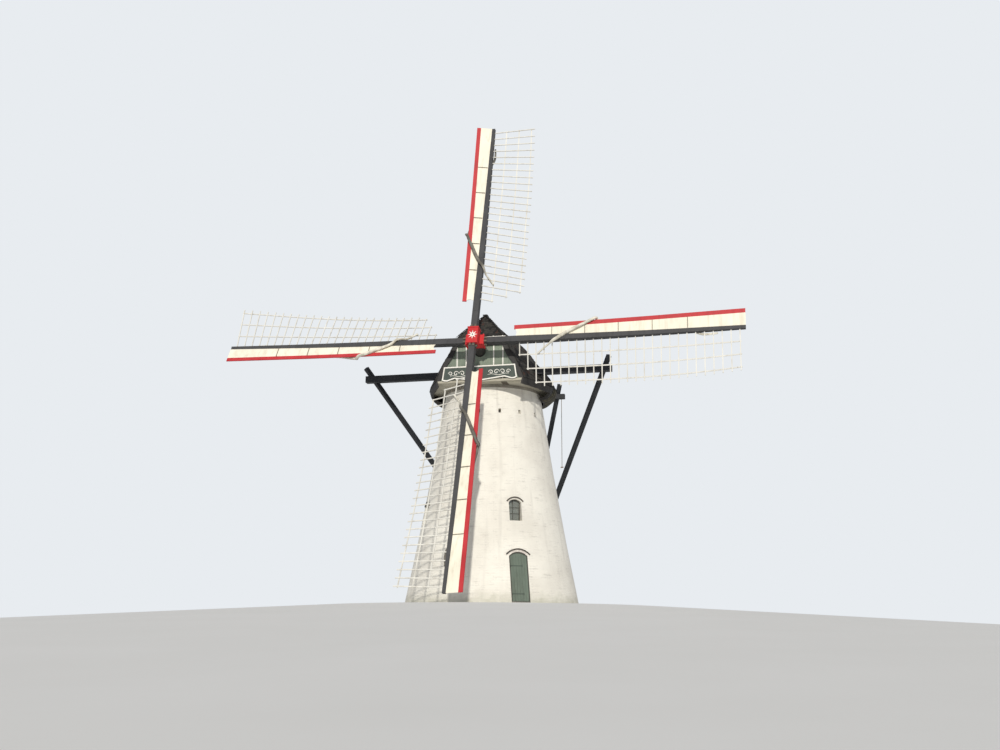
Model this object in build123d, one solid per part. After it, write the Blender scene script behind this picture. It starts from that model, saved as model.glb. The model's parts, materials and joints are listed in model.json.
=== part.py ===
from build123d import *
import os
from math import asin, atan, cos, degrees, radians, sin, tan

os.makedirs("parts", exist_ok=True)

# Round brick tower, in millimetres above the ground. The front door faces -Y.
BASE_RADIUS = 4280
TOP_RADIUS = 2440
TOWER_HEIGHT = 10400
WALL_BOW = 75
GROUND_STOREY_TOP = 3000
MIDDLE_STOREY_TOP = 6600
GROUND_WALL = 650
MIDDLE_WALL = 550
TOP_WALL = 450

# Small square scaffold holes under the top of the wall.
SCAFFOLD_HOLES = 16
SCAFFOLD_HOLE_WIDTH = 130
SCAFFOLD_HOLE_HEIGHT = 210
SCAFFOLD_HOLE_LEVEL = TOWER_HEIGHT - 1080
SCAFFOLD_HOLE_OFFSET = 11.25

# Doorways, front and rear, with a door that leans back with the wall.
DOOR_OPENING_WIDTH = 900
DOOR_SILL_TOP = 200
DOOR_CROWN = 2460
DOOR_RISE = 190
DOOR_SETBACK = 30
DOOR_HALF_ANGLE = 15
DOOR_HEAD_JOINT = 25
DOOR_JAMB = 45
DOOR_FRAME_DEPTH = 90
DOOR_STOP = 18
DOOR_STOP_GAP = 0.5
DOOR_LEAF = 40
DOOR_GAP = 5
DOOR_FOOT_GAP = 15
HINGE_PIN_RADIUS = 8
HINGE_PLAY = 0.05
HINGE_LIFT = 0.15
HINGE_WALL = 6.95
HINGE_HEIGHT = 50
HINGE_BRACKET = 25
HINGE_STRAP_LENGTH = 560
HINGE_STRAP_THICKNESS = 6
HINGE_LEVELS = (330, 1620)

# Windows on the first floor, one on each side.
WINDOW_WIDTH = 620
WINDOW_SILL = 3920
WINDOW_CROWN = 4940
WINDOW_RISE = 150
WINDOW_SETBACK = 260
WINDOW_FRAME = 50
WINDOW_FRAME_DEPTH = 60
GLASS_THICKNESS = 8

# Thin curved drips over the doors and the windows.
DRIP_THICKNESS = 45
DRIP_PROJECTION = 60
DOOR_DRIP_RISE = 130
DOOR_DRIP_REACH = 125
WINDOW_DRIP_RISE = 95
WINDOW_DRIP_REACH = 90

# Floors.
FIRST_FLOOR_JOIST = 220
FIRST_FLOOR_JOIST_WIDTH = 160
FIRST_FLOOR_JOISTS = 5
FLOOR_BOARD = 40
FLOOR_CLEARANCE = 0.5
SILL_OVERLAP = 50

# Ring on the wall, and the ring of the turning cap that slides on it.
CURB_HEIGHT = 120
CURB_WIDTH = 330
CAP_RING_HEIGHT = 160
CAP_RING_WIDTH = 300
CURB_OVERHANG = 10
TURNING_GAP = 0.3

# The cap is built facing -Y and then turned to face the wind.
CAP_TURN = -31.5
EAVES_RADIUS = 3250
EAVES_LEVEL = TOWER_HEIGHT + 380
LIP_RADIUS = 2560
LIP_LEVEL = TOWER_HEIGHT - 220
SHOULDER_RADIUS = 2280
SHOULDER_LEVEL = TOWER_HEIGHT + 1750
RIDGE_LEVEL = TOWER_HEIGHT + 4000
SKIRT_BOW = 90
ROOF_BOW = 200
ROOF_SHELL = 110
GABLE_PLANE = -3000
PEAK_PLANE = -1800
GABLE_TOP = TOWER_HEIGHT + 2560
GABLE_NARROWING = 0.67
ROOF_STATIONS = ((-800, 0.97), (-1700, 0.87))
GABLE_RECESS = 100
GABLE_BOARD = 40

FRONT_SKIRT_LEVEL = TOWER_HEIGHT + 100
FRONT_SKIRT_END = -700
FRONT_SKIRT_SLOPE = 300
EAVES_BOARD = 100
VERGE_WIDTH = 190
VERGE_DEPTH = 60

# Timber frame of the cap.
SHEER_SPACING = 2300
SHEER_WIDTH = 300
SHEER_HEIGHT = 550
SHEER_FRONT = -2780
SHEER_REAR = 2650
WEATHER_BEAM_DEPTH = 420
WEATHER_BEAM_HEIGHT = 500
WEATHER_BEAM_WIDTH = 2900
TAIL_BEAM_FRONT = 750
TAIL_BEAM_DEPTH = 400
TAIL_BEAM_HALF_HEIGHT = 270

# Beams through the cap and the tail that turns it.
LONG_SPRUCE_HALF = 6300
LONG_SPRUCE_SECTION = 330
LONG_SPRUCE_PLANE = -1610
SHORT_SPRUCE_HALF = 3300
SHORT_SPRUCE_SECTION = 250
SHORT_SPRUCE_PLANE = 2505
SHORT_SPRUCE_LEVEL = TOWER_HEIGHT + 630
TAIL_POLE_WIDTH = 260
TAIL_POLE_HEAD_DEPTH = 340
TAIL_POLE_FOOT_DEPTH = 240
TAIL_POLE_BITE = 90
TAIL_POLE_OVERSHOOT = 450
TAIL_POLE_TOE = 450
TAIL_FOOT_REACH = 7354
TAIL_FOOT_LEVEL = 1250
LONG_BRACE_SECTION = 200
LONG_BRACE_REACH = 5900
LONG_BRACE_BITE = 70
LONG_BRACE_OVERSHOOT = 770
SHORT_BRACE_SECTION = 190
SHORT_BRACE_REACH = 2870
SHORT_BRACE_BITE = 90
SHORT_BRACE_OVERSHOOT = 726
SHORT_BRACE_FOOT_LEVEL = 1800
SLOT_GAP = 6

# Front of the cap: battens, rail and the board under the gable.
BATTEN_PLACES = (-1150, -690, 690, 1150)
BATTEN_WIDTH = 55
BATTEN_THICKNESS = 30
RAIL_LEVEL = TOWER_HEIGHT + 2500
RAIL_HALF = 1300
RAIL_SECTION = 36
BALL_RADIUS = 42
NECK_HOLE_GAP = 40
BEARD_TOP = TOWER_HEIGHT + 1070
BEARD_HALF_TOP = 1790
BEARD_HALF_FOOT = 1880
BEARD_CORNER = TOWER_HEIGHT + 390
BEARD_THICKNESS = 45
BEARD_TROUGH = 1600
BEARD_TROUGH_FOOT = TOWER_HEIGHT + 340
BEARD_PEAK = 1250
BEARD_PEAK_FOOT = TOWER_HEIGHT + 450
BEARD_MIDDLE_FOOT = TOWER_HEIGHT + 300

# Windshaft. The hub is where the shaft crosses the front stock.
HUB_REACH = 4249
HUB_LEVEL = TOWER_HEIGHT + 2189
SHAFT_RISE = 14.85
CROSS_TURN = 1.06
STOCK_SPACING = 470
SOCKET_LENGTH = 900
SOCKET_WIDTH = 500
SOCKET_DEPTH = 440
NECK_RADIUS = 240
NECK_END = 2150
SHAFT_RADIUS = 265
SHAFT_END = 4950
JOURNAL_RADIUS = 80
JOURNAL_END = 5650
BEARING_HEIGHT = 320
BEARING_LENGTH = 300
BEARING_WIDTH = 800
BEARING_PLAY = 0.05

# Stocks: tapered steel boxes whose ends bend forward.
HALF_SPAN = 12700
STOCK_WIDTH = 280
STOCK_DEPTH = 270
STOCK_TIP_WIDTH = 150
STOCK_TIP_DEPTH = 130
STOCK_STRAIGHT = 1000
STOCK_BEND = 300
STOCK_STATIONS = 4

# Lattice of each sail: bars across, laths along.
FIRST_BAR = 2160
BAR_PITCH = 395
TIP_MARGIN = 270
BARS = 1 + int((HALF_SPAN - TIP_MARGIN - FIRST_BAR) / BAR_PITCH)
BAR_REACH = 2260
BAR_WIDTH = 48
BAR_THICKNESS = 34
BAR_END = 60
LATH_PLACES = (720, 1400, 2070)
LATH_WIDTH = 55
LATH_THICKNESS = 30
LATH_HOUSING = 10
LATH_TILT = 14
LATH_STEP = 3
WEATHER_INNER = 23.5
WEATHER_CHANGE = 27
WEATHER_POWER = 2.2

# Wind boards on the leading side, on short arms.
BOARD_START = 1900
BOARD_LEAD_INNER = 670
BOARD_LEAD_TIP = 860
BOARD_RISE_INNER = 240
BOARD_RISE_TIP = 250
BOARD_THICKNESS = 25
BOARD_SEAM = 8
BOARD_SEAM_BARS = (5, 9, 13, 17)
BOARD_STOCK_GAP = 12
RED_WIDTH = 205
RED_THICKNESS = 45
ARM_WIDTH = 45
ARM_THICKNESS = 50
ARM_BITE = 60
ARM_HOUSING = 4
ARM_END = 30
ARM_STEP = 2
SCALLOP_RADIUS = 243
SCALLOP_DEPTH = 130

# Brake rope with its wooden toggle.
ROPE_RADIUS = 14
ROPE_LENGTH = 3650
ROPE_PLACE = 3120
TOGGLE_RADIUS = 32
TOGGLE_LENGTH = 150


def keep(name, shape):
    """Writes one piece of the windmill."""
    export_step(shape, f"parts/{name}.step")


def solids_of(*pieces):
    """Several separate solids that share one node."""
    found = []
    for piece in pieces:
        found.extend(piece.solids())
    return Compound(children=found)


def bowed_radius(level):
    """Radius at the top or foot of a storey, on the slightly hollow line of the wall."""
    share = level / TOWER_HEIGHT
    straight = BASE_RADIUS + (TOP_RADIUS - BASE_RADIUS) * share
    return straight - 4 * WALL_BOW * share * (1 - share)


def outer_radius(level):
    """Radius of the tower's outer face at a height, straight within each storey."""
    floors = (0, GROUND_STOREY_TOP, MIDDLE_STOREY_TOP, TOWER_HEIGHT)
    for low, high in zip(floors, floors[1:]):
        if level <= high:
            share = (level - low) / (high - low)
            return bowed_radius(low) + (bowed_radius(high) - bowed_radius(low)) * share
    return TOP_RADIUS


def cone_ring(low, high, wall, start, turn):
    """Part of a tapering brick ring, from one azimuth through a turn, in degrees."""
    section = Polyline(
        (outer_radius(low), low),
        (outer_radius(high), high),
        (outer_radius(high) - wall, high),
        (outer_radius(low) - wall, low),
        close=True,
    )
    face = Plane.XZ * make_face(section)
    return Rot(0, 0, start - 90) * revolve(face, Axis.Z, revolution_arc=turn)


def arched_face(half_width, foot, spring, crown):
    """Upright outline with a segmental arch on top."""
    lines = Polyline((-half_width, spring), (-half_width, foot), (half_width, foot), (half_width, spring))
    arch = ThreePointArc((-half_width, spring), (0, crown), (half_width, spring))
    return make_face(lines + arch)


def arched_prism(half_width, foot, spring, crown, near, far):
    """The same outline run through the wall along Y, from near to far."""
    face = Plane.XZ * arched_face(half_width, foot, spring, crown)
    return Pos(0, near, 0) * extrude(face, amount=far - near, dir=(0, 1, 0))


def block(x0, x1, y0, y1, z0, z1):
    """Straight block between two corners."""
    return Pos((x0 + x1) / 2, (y0 + y1) / 2, (z0 + z1) / 2) * Box(x1 - x0, y1 - y0, z1 - z0)


def disc(radius, low, high):
    """Flat round plate about the tower's axis."""
    return Pos(0, 0, (low + high) / 2) * Cylinder(radius, high - low)


# Tower walls. Each storey is a ring of segments, thinner than the one below.
door_spring = DOOR_CROWN - DOOR_RISE
door_half = DOOR_OPENING_WIDTH / 2
door_cut = arched_prism(door_half, -1, door_spring, DOOR_CROWN, -BASE_RADIUS - 1, -BASE_RADIUS / 2)
door_slot = block(
    -DOOR_OPENING_WIDTH / 2,
    DOOR_OPENING_WIDTH / 2,
    -BASE_RADIUS - 1,
    -BASE_RADIUS / 2,
    -1,
    GROUND_STOREY_TOP + 1,
)
both_slots = door_slot + Rot(0, 0, 180) * door_slot
for side, turned in (("right", 0), ("left", 180)):
    for number in range(2):
        segment = cone_ring(0, GROUND_STOREY_TOP, GROUND_WALL, turned + number * 90, 90) - both_slots
        spot = ("front", "rear")[number if side == "right" else 1 - number]
        keep(f"ground_wall_{side}_{spot}", segment)

ring = cone_ring(0, GROUND_STOREY_TOP, GROUND_WALL, -DOOR_HALF_ANGLE, 2 * DOOR_HALF_ANGLE)
over_door = (ring & door_slot) - door_cut
keep("door_arches", solids_of(over_door, Rot(0, 0, 180) * over_door))

window_spring = WINDOW_CROWN - WINDOW_RISE
window_half = WINDOW_WIDTH / 2
window_cut = arched_prism(
    window_half, WINDOW_SILL, window_spring, WINDOW_CROWN, -BASE_RADIUS, -BASE_RADIUS / 2
)
for number, side in enumerate(("front", "right", "rear", "left")):
    segment = cone_ring(GROUND_STOREY_TOP, MIDDLE_STOREY_TOP, MIDDLE_WALL, -45, 90) - window_cut
    keep(f"middle_wall_{side}", Rot(0, 0, 90 * number) * segment)

hole_pitch = 360 / SCAFFOLD_HOLES
hole = block(
    -SCAFFOLD_HOLE_WIDTH / 2,
    SCAFFOLD_HOLE_WIDTH / 2,
    -BASE_RADIUS,
    -TOP_RADIUS / 2,
    SCAFFOLD_HOLE_LEVEL - SCAFFOLD_HOLE_HEIGHT / 2,
    SCAFFOLD_HOLE_LEVEL + SCAFFOLD_HOLE_HEIGHT / 2,
)
for number, side in enumerate(("right", "left")):
    segment = cone_ring(MIDDLE_STOREY_TOP, TOWER_HEIGHT, TOP_WALL, 0, 180)
    for step in range(SCAFFOLD_HOLES // 2):
        segment -= Rot(0, 0, SCAFFOLD_HOLE_OFFSET + step * hole_pitch) * hole
    keep(f"top_wall_{side}", Rot(0, 0, 180 * number) * segment)

# Floors: a stone floor on the ground, and boards on joists that lie on the wall's ledge.
ground_inner = outer_radius(DOOR_SILL_TOP) - GROUND_WALL
sill_ring = cone_ring(0, DOOR_SILL_TOP, GROUND_WALL + SILL_OVERLAP, -DOOR_HALF_ANGLE, 2 * DOOR_HALF_ANGLE)
sill_span = DOOR_OPENING_WIDTH / 2
sill = sill_ring & block(-sill_span, sill_span, -BASE_RADIUS - 1, -BASE_RADIUS / 2, -1, DOOR_SILL_TOP)
ground_floor = disc(ground_inner - FLOOR_CLEARANCE, 0, DOOR_SILL_TOP)
keep("ground_floor", ground_floor + sill + Rot(0, 0, 180) * sill)

joist_top = GROUND_STOREY_TOP + FIRST_FLOOR_JOIST
deck_top = joist_top + FLOOR_BOARD
floor_radius = outer_radius(deck_top) - MIDDLE_WALL - FLOOR_CLEARANCE
joist_room = disc(floor_radius, GROUND_STOREY_TOP, deck_top)
first_floor = disc(floor_radius, joist_top, deck_top)
joist_pitch = 2 * floor_radius / (FIRST_FLOOR_JOISTS + 1)
for number in range(FIRST_FLOOR_JOISTS):
    middle = -floor_radius + (number + 1) * joist_pitch
    joist = block(
        middle - FIRST_FLOOR_JOIST_WIDTH / 2,
        middle + FIRST_FLOOR_JOIST_WIDTH / 2,
        -floor_radius,
        floor_radius,
        GROUND_STOREY_TOP,
        joist_top,
    )
    first_floor += joist & joist_room
keep("first_floor", first_floor)

curb_outer = TOP_RADIUS - CURB_OVERHANG
curb_top = TOWER_HEIGHT + CURB_HEIGHT
curb_inner = curb_outer - CURB_WIDTH
keep("curb_ring", disc(curb_outer, TOWER_HEIGHT, curb_top) - disc(curb_inner, TOWER_HEIGHT, curb_top))

# Windows: an arched frame and a sheet of glass in each.
window_face = outer_radius((WINDOW_SILL + WINDOW_CROWN) / 2) - WINDOW_SETBACK
window_frame = arched_prism(
    window_half,
    WINDOW_SILL,
    window_spring,
    WINDOW_CROWN,
    -window_face,
    -window_face + WINDOW_FRAME_DEPTH,
)
light_half = window_half - WINDOW_FRAME
light_foot = WINDOW_SILL + WINDOW_FRAME
light_crown = WINDOW_CROWN - WINDOW_FRAME
window_light = arched_prism(
    light_half, light_foot, window_spring, light_crown, -window_face - 1, -window_face + WINDOW_FRAME_DEPTH + 1
)
glass_front = -window_face + (WINDOW_FRAME_DEPTH - GLASS_THICKNESS) / 2
glass_rear = glass_front + GLASS_THICKNESS
glass = arched_prism(light_half, light_foot, window_spring, light_crown, glass_front, glass_rear)
window_frame -= window_light
keep("window_frames", solids_of(*[Rot(0, 0, 90 * number) * window_frame for number in range(4)]))
keep("window_panes", solids_of(*[Rot(0, 0, 90 * number) * glass for number in range(4)]))


def drip(half_width, spring, crown):
    """Thin arched strip that stands out of the battered wall over an opening."""
    outer = ThreePointArc((-half_width, spring), (0, crown), (half_width, spring))
    band = trace(outer, line_width=DRIP_THICKNESS)
    strip = Plane.XZ * band
    strip = Pos(0, -BASE_RADIUS, 0) * extrude(strip, amount=BASE_RADIUS / 2, dir=(0, 1, 0))
    low = spring - DRIP_THICKNESS
    high = crown + DRIP_THICKNESS
    near = Pos(0, 0, (low + high) / 2) * Cone(
        outer_radius(low) + DRIP_PROJECTION, outer_radius(high) + DRIP_PROJECTION, high - low
    )
    wall = Pos(0, 0, (low + high) / 2) * Cone(outer_radius(low), outer_radius(high), high - low)
    return (strip & near) - wall


door_drip = drip(
    DOOR_OPENING_WIDTH / 2 + DOOR_DRIP_REACH,
    door_spring + DOOR_DRIP_RISE / 2,
    DOOR_CROWN + DOOR_DRIP_RISE,
)
window_drip = drip(
    window_half + WINDOW_DRIP_REACH,
    window_spring + WINDOW_DRIP_RISE / 2,
    WINDOW_CROWN + WINDOW_DRIP_RISE,
)
drips = [door_drip, Rot(0, 0, 180) * door_drip]
drips += [Rot(0, 0, 90 * number) * window_drip for number in range(4)]
keep("drip_arches", solids_of(*drips))

# Doors. They lie in a plane that leans back with the wall.
lean = degrees(atan((BASE_RADIUS - outer_radius(DOOR_CROWN)) / DOOR_CROWN))
door_plane = Plane(
    origin=(0, -(outer_radius(DOOR_SILL_TOP) - DOOR_SETBACK), DOOR_SILL_TOP),
    x_dir=(1, 0, 0),
    z_dir=(0, -cos(radians(lean)), sin(radians(lean))),
)
slope_length = 1 / cos(radians(lean))
head_spring = (door_spring - DOOR_SILL_TOP) * slope_length - DOOR_HEAD_JOINT
head_crown = (DOOR_CROWN - DOOR_SILL_TOP) * slope_length - DOOR_HEAD_JOINT


def door_prism(inset, foot, near, far):
    """Arched panel in the leaning plane, inset from the frame's outside."""
    face = arched_face(door_half - inset, foot, head_spring, head_crown - inset)
    return Pos(0, 0, near) * extrude(face, amount=far - near, dir=(0, 0, 1))


door_frame = door_prism(0, -DOOR_FRAME_DEPTH, -DOOR_FRAME_DEPTH, 0)
door_frame -= door_prism(DOOR_JAMB, -2 * DOOR_FRAME_DEPTH, -DOOR_LEAF - DOOR_STOP_GAP, 1)
door_frame -= door_prism(DOOR_JAMB + DOOR_STOP, -2 * DOOR_FRAME_DEPTH, -DOOR_FRAME_DEPTH - 1, 1)
door_frame = door_plane.location * door_frame
sill_room = block(-BASE_RADIUS, BASE_RADIUS, -BASE_RADIUS, 0, DOOR_SILL_TOP, GROUND_STOREY_TOP)
door_frame = door_frame & sill_room
leaf = door_prism(DOOR_JAMB + DOOR_GAP, DOOR_FOOT_GAP, -DOOR_LEAF, 0)

knuckle_radius = HINGE_PIN_RADIUS + HINGE_WALL
hinge_x = -(door_half - DOOR_JAMB - DOOR_GAP / 2)
hinge_z = knuckle_radius + HINGE_LIFT


def upright_rod(radius, low, high):
    """Rod along the slope of the door, on the hinge line."""
    rod = extrude(Circle(radius), amount=high - low)
    return Pos(hinge_x, low, hinge_z) * (Rot(-90, 0, 0) * rod)


straps = []
pintles = []
for level in HINGE_LEVELS:
    foot = level
    head = level + HINGE_HEIGHT
    strap = block(
        hinge_x + HINGE_STRAP_THICKNESS,
        hinge_x + HINGE_STRAP_LENGTH,
        foot,
        head,
        0,
        HINGE_STRAP_THICKNESS,
    )
    strap += upright_rod(knuckle_radius, foot, head)
    strap -= upright_rod(HINGE_PIN_RADIUS + HINGE_PLAY, foot - 1, head + 1)
    straps.append(strap)
    seat = foot - TURNING_GAP
    bracket = block(
        hinge_x - DOOR_JAMB + DOOR_GAP, hinge_x, seat - HINGE_BRACKET, seat, 0, hinge_z + HINGE_PIN_RADIUS
    )
    bracket += upright_rod(knuckle_radius, seat - HINGE_BRACKET, seat)
    bracket += upright_rod(HINGE_PIN_RADIUS, seat - HINGE_BRACKET / 2, head)
    pintles.append(bracket)

pintle_set = [door_plane.location * piece for piece in pintles]
strap_set = [door_plane.location * piece for piece in straps]
leaf = door_plane.location * leaf
half_turn = Rot(0, 0, 180)
for side, spin in (("front", Rot(0, 0, 0)), ("rear", half_turn)):
    keep(f"{side}_door", spin * leaf)
    keep(f"{side}_door_straps", solids_of(*[spin * piece for piece in strap_set]))
keep("door_frames", solids_of(door_frame, half_turn * door_frame))
keep("door_pintles", solids_of(*pintle_set, *[half_turn * piece for piece in pintle_set]))

# Windshaft axis, in the cap's own frame.
rise = radians(SHAFT_RISE)
shaft_dir = Vector(0, -cos(rise), sin(rise))
hub = Vector(0, -HUB_REACH, HUB_LEVEL)
rear_hub = hub - shaft_dir * STOCK_SPACING
shaft_plane = Plane(origin=hub, x_dir=(1, 0, 0), z_dir=shaft_dir)
face_wind = Rot(0, 0, CAP_TURN)


def shaft_level(y):
    """Height of the shaft's axis over a point on the cap's middle line."""
    return HUB_LEVEL - (y + HUB_REACH) * tan(rise)


def keep_cap(name, shape):
    """Writes a piece of the cap, turned to face the wind."""
    keep(name, face_wind * shape)


def bowed(start, end, bow, steps):
    """Points after start on a shallow bow from start to end, bulging outward."""
    along = Vector(*end) - Vector(*start)
    side = Vector(along.Y, -along.X).normalized()
    points = []
    for step in range(1, steps + 1):
        share = step / steps
        point = Vector(*start) + along * share + side * (4 * bow * share * (1 - share))
        points.append((point.X, point.Y))
    return points


def roof_profile(inset):
    """Half of the bell-shaped section, from the lip under the eaves up to the ridge."""
    lip = (LIP_RADIUS, LIP_LEVEL + inset)
    eaves = (EAVES_RADIUS - inset, EAVES_LEVEL)
    shoulder = (SHOULDER_RADIUS - inset, SHOULDER_LEVEL - inset / 2)
    points = [lip]
    for turn in (30, 60, 90):
        reach = lip[0] + (eaves[0] - lip[0]) * sin(radians(turn))
        level = eaves[1] - (eaves[1] - lip[1]) * cos(radians(turn))
        points.append((reach, level))
    points += bowed(eaves, shoulder, SKIRT_BOW, 3)
    points += bowed(shoulder, (0, RIDGE_LEVEL - inset * 1.3), ROOF_BOW, 5)
    return points


def roof_section(inset, width, plane):
    """The whole section across the cap, narrowed by a share, on a plane across Y."""
    half = [(reach * width, level) for reach, level in roof_profile(inset)]
    other = [(-reach, level) for reach, level in reversed(half[:-1])]
    outline = Polyline(*half, *other, close=True)
    return Plane(origin=(0, plane, 0), x_dir=(1, 0, 0), z_dir=(0, -1, 0)) * make_face(outline)


def roof_body(inset):
    """Solid inside the roof's skin, with a round back and a narrower front."""
    half = [(0, LIP_LEVEL + inset)] + roof_profile(inset)
    face = Plane.XZ * make_face(Polyline(*half, close=True))
    body = revolve(face, Axis.Z, revolution_arc=180)
    stations = [(0, 1.0)] + list(ROOF_STATIONS) + [(GABLE_PLANE, GABLE_NARROWING)]
    sections = [roof_section(inset, width, plane) for plane, width in stations]
    for near, far in zip(sections, sections[1:]):
        body += loft([near, far], ruled=True)
    return body


def hip_wedge(inset):
    """What lies above the sloping front of the roof."""
    run = PEAK_PLANE - GABLE_PLANE
    climb = RIDGE_LEVEL - GABLE_TOP
    drop = inset / cos(atan(climb / run))
    foot = (GABLE_PLANE - run, GABLE_TOP - climb - drop)
    head = (PEAK_PLANE + run, RIDGE_LEVEL + climb - drop)
    outline = Polyline(foot, head, (foot[0], head[1]), close=True)
    face = Plane.YZ * make_face(outline)
    return extrude(face, amount=EAVES_RADIUS, both=True)


def front_cut():
    """Room under the front skirt, where the curved eaves stop short of the gable."""
    low = LIP_LEVEL - 1
    slope_end = FRONT_SKIRT_END + FRONT_SKIRT_SLOPE
    outline = Polyline(
        (-2 * EAVES_RADIUS, low),
        (slope_end, low),
        (FRONT_SKIRT_END, FRONT_SKIRT_LEVEL),
        (-2 * EAVES_RADIUS, FRONT_SKIRT_LEVEL),
        close=True,
    )
    return extrude(Plane.YZ * make_face(outline), amount=2 * EAVES_RADIUS, both=True)


def beam_between(start, end, width, depth):
    """Straight timber between two points; its width lies level."""
    along = end - start
    level = along.cross(Vector(0, 0, 1)).normalized()
    plane = Plane(origin=start, x_dir=level, z_dir=along.normalized())
    timber = extrude(Rectangle(width, depth), amount=along.length)
    return plane.location * timber


def mirrored(shape):
    """The same piece on the other side of the cap."""
    return shape.mirror(Plane.YZ)


# Timber frame: ring, two sheers, weather beam in front and tail beam behind.
ring_low = curb_top + TURNING_GAP
ring_top = ring_low + CAP_RING_HEIGHT
ring_inner = curb_outer - CAP_RING_WIDTH
keep_cap("cap_ring", disc(curb_outer, ring_low, ring_top) - disc(ring_inner, ring_low, ring_top))

sheer_top = ring_top + SHEER_HEIGHT
sheer_inner = SHEER_SPACING / 2 - SHEER_WIDTH / 2
sheer_outer = SHEER_SPACING / 2 + SHEER_WIDTH / 2
right_sheer = block(sheer_inner, sheer_outer, SHEER_FRONT, SHEER_REAR, ring_top, sheer_top)
sheers = right_sheer + mirrored(right_sheer)
weather_top = sheer_top + WEATHER_BEAM_HEIGHT
weather_rear = SHEER_FRONT + WEATHER_BEAM_DEPTH
weather_beam = block(
    -WEATHER_BEAM_WIDTH / 2, WEATHER_BEAM_WIDTH / 2, SHEER_FRONT, weather_rear, sheer_top, weather_top
)
tail_level = shaft_level(TAIL_BEAM_FRONT + TAIL_BEAM_DEPTH / 2)
tail_beam = block(
    -sheer_outer,
    sheer_outer,
    TAIL_BEAM_FRONT,
    TAIL_BEAM_FRONT + TAIL_BEAM_DEPTH,
    tail_level - TAIL_BEAM_HALF_HEIGHT,
    tail_level + TAIL_BEAM_HALF_HEIGHT,
)
journal_room = Pos(0, 0, -SHAFT_END) * Cylinder(JOURNAL_RADIUS + BEARING_PLAY, 4 * SHAFT_END)
journal_room = shaft_plane.location * journal_room
cap_frame = sheers + weather_beam + (tail_beam - journal_room)

short_half = SHORT_SPRUCE_SECTION / 2
short_low = SHORT_SPRUCE_LEVEL - short_half
short_high = SHORT_SPRUCE_LEVEL + short_half
short_front = SHORT_SPRUCE_PLANE - short_half
short_rear = SHORT_SPRUCE_PLANE + short_half
long_front = LONG_SPRUCE_PLANE - LONG_SPRUCE_SECTION / 2
long_rear = LONG_SPRUCE_PLANE + LONG_SPRUCE_SECTION / 2
long_top = sheer_top + LONG_SPRUCE_SECTION
short_spruce = block(-SHORT_SPRUCE_HALF, SHORT_SPRUCE_HALF, short_front, short_rear, short_low, short_high)
long_spruce = block(-LONG_SPRUCE_HALF, LONG_SPRUCE_HALF, long_front, long_rear, sheer_top, long_top)

bearing_middle = SHEER_FRONT + WEATHER_BEAM_DEPTH / 2
bearing = block(
    -BEARING_WIDTH / 2,
    BEARING_WIDTH / 2,
    bearing_middle - BEARING_LENGTH / 2,
    bearing_middle + BEARING_LENGTH / 2,
    weather_top,
    weather_top + BEARING_HEIGHT,
)
neck_room = shaft_plane.location * Pos(0, 0, -NECK_END) * Cylinder(NECK_RADIUS + BEARING_PLAY, 2 * NECK_END)
keep_cap("neck_bearing", bearing - neck_room)

# Tail pole behind the short spruce, and the braces that meet it at its foot.
tail_foot = Vector(0, TAIL_FOOT_REACH, TAIL_FOOT_LEVEL)
tail_head = Vector(0, short_rear + TAIL_POLE_HEAD_DEPTH / 2 - TAIL_POLE_BITE, SHORT_SPRUCE_LEVEL)
tail_way = (tail_head - tail_foot).normalized()


def tail_pole(spare):
    """The pole with its tapering depth, grown by a clearance on each side."""
    low = tail_foot - tail_way * TAIL_POLE_TOE
    high = tail_head + tail_way * TAIL_POLE_OVERSHOOT
    sections = []
    for point, depth in ((low, TAIL_POLE_FOOT_DEPTH), (high, TAIL_POLE_HEAD_DEPTH)):
        plane = Plane(origin=point, x_dir=(1, 0, 0), z_dir=tail_way)
        sections.append(plane * Rectangle(TAIL_POLE_WIDTH + 2 * spare, depth + 2 * spare))
    return loft(sections, ruled=True)


keep_cap("tail_pole", tail_pole(0) - short_spruce)


def brace(crossing, foot, section, overshoot):
    """Brace from the side of the tail pole up past the end of a beam."""
    way = (crossing - foot).normalized()
    return beam_between(foot, crossing + way * overshoot, section, section)


def brace_right_side(shape):
    """Only the part on the right of the pole."""
    reach = 2 * TAIL_FOOT_REACH
    side = block(TAIL_POLE_WIDTH / 2, 2 * LONG_SPRUCE_HALF, -reach, reach, 0, RIDGE_LEVEL)
    return shape & side


long_crossing = Vector(LONG_BRACE_REACH, long_rear - LONG_BRACE_BITE, sheer_top + LONG_SPRUCE_SECTION / 2)
long_brace = brace_right_side(brace(long_crossing, tail_foot, LONG_BRACE_SECTION, LONG_BRACE_OVERSHOOT))
short_brace_plane = short_rear + SHORT_BRACE_SECTION / 2 - SHORT_BRACE_BITE
short_crossing = Vector(SHORT_BRACE_REACH, short_brace_plane, SHORT_SPRUCE_LEVEL)
short_share = (SHORT_BRACE_FOOT_LEVEL - TAIL_FOOT_LEVEL) / (SHORT_SPRUCE_LEVEL - TAIL_FOOT_LEVEL)
short_foot = tail_foot + (tail_head - tail_foot) * short_share
short_brace = brace_right_side(brace(short_crossing, short_foot, SHORT_BRACE_SECTION, SHORT_BRACE_OVERSHOOT))
long_braces = long_brace + mirrored(long_brace)
short_braces = short_brace + mirrored(short_brace)
keep_cap("long_braces", long_braces)
keep_cap("short_braces", short_braces)
keep_cap("long_spruce", long_spruce - long_braces)
keep_cap("short_spruce", short_spruce - short_braces)

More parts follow.
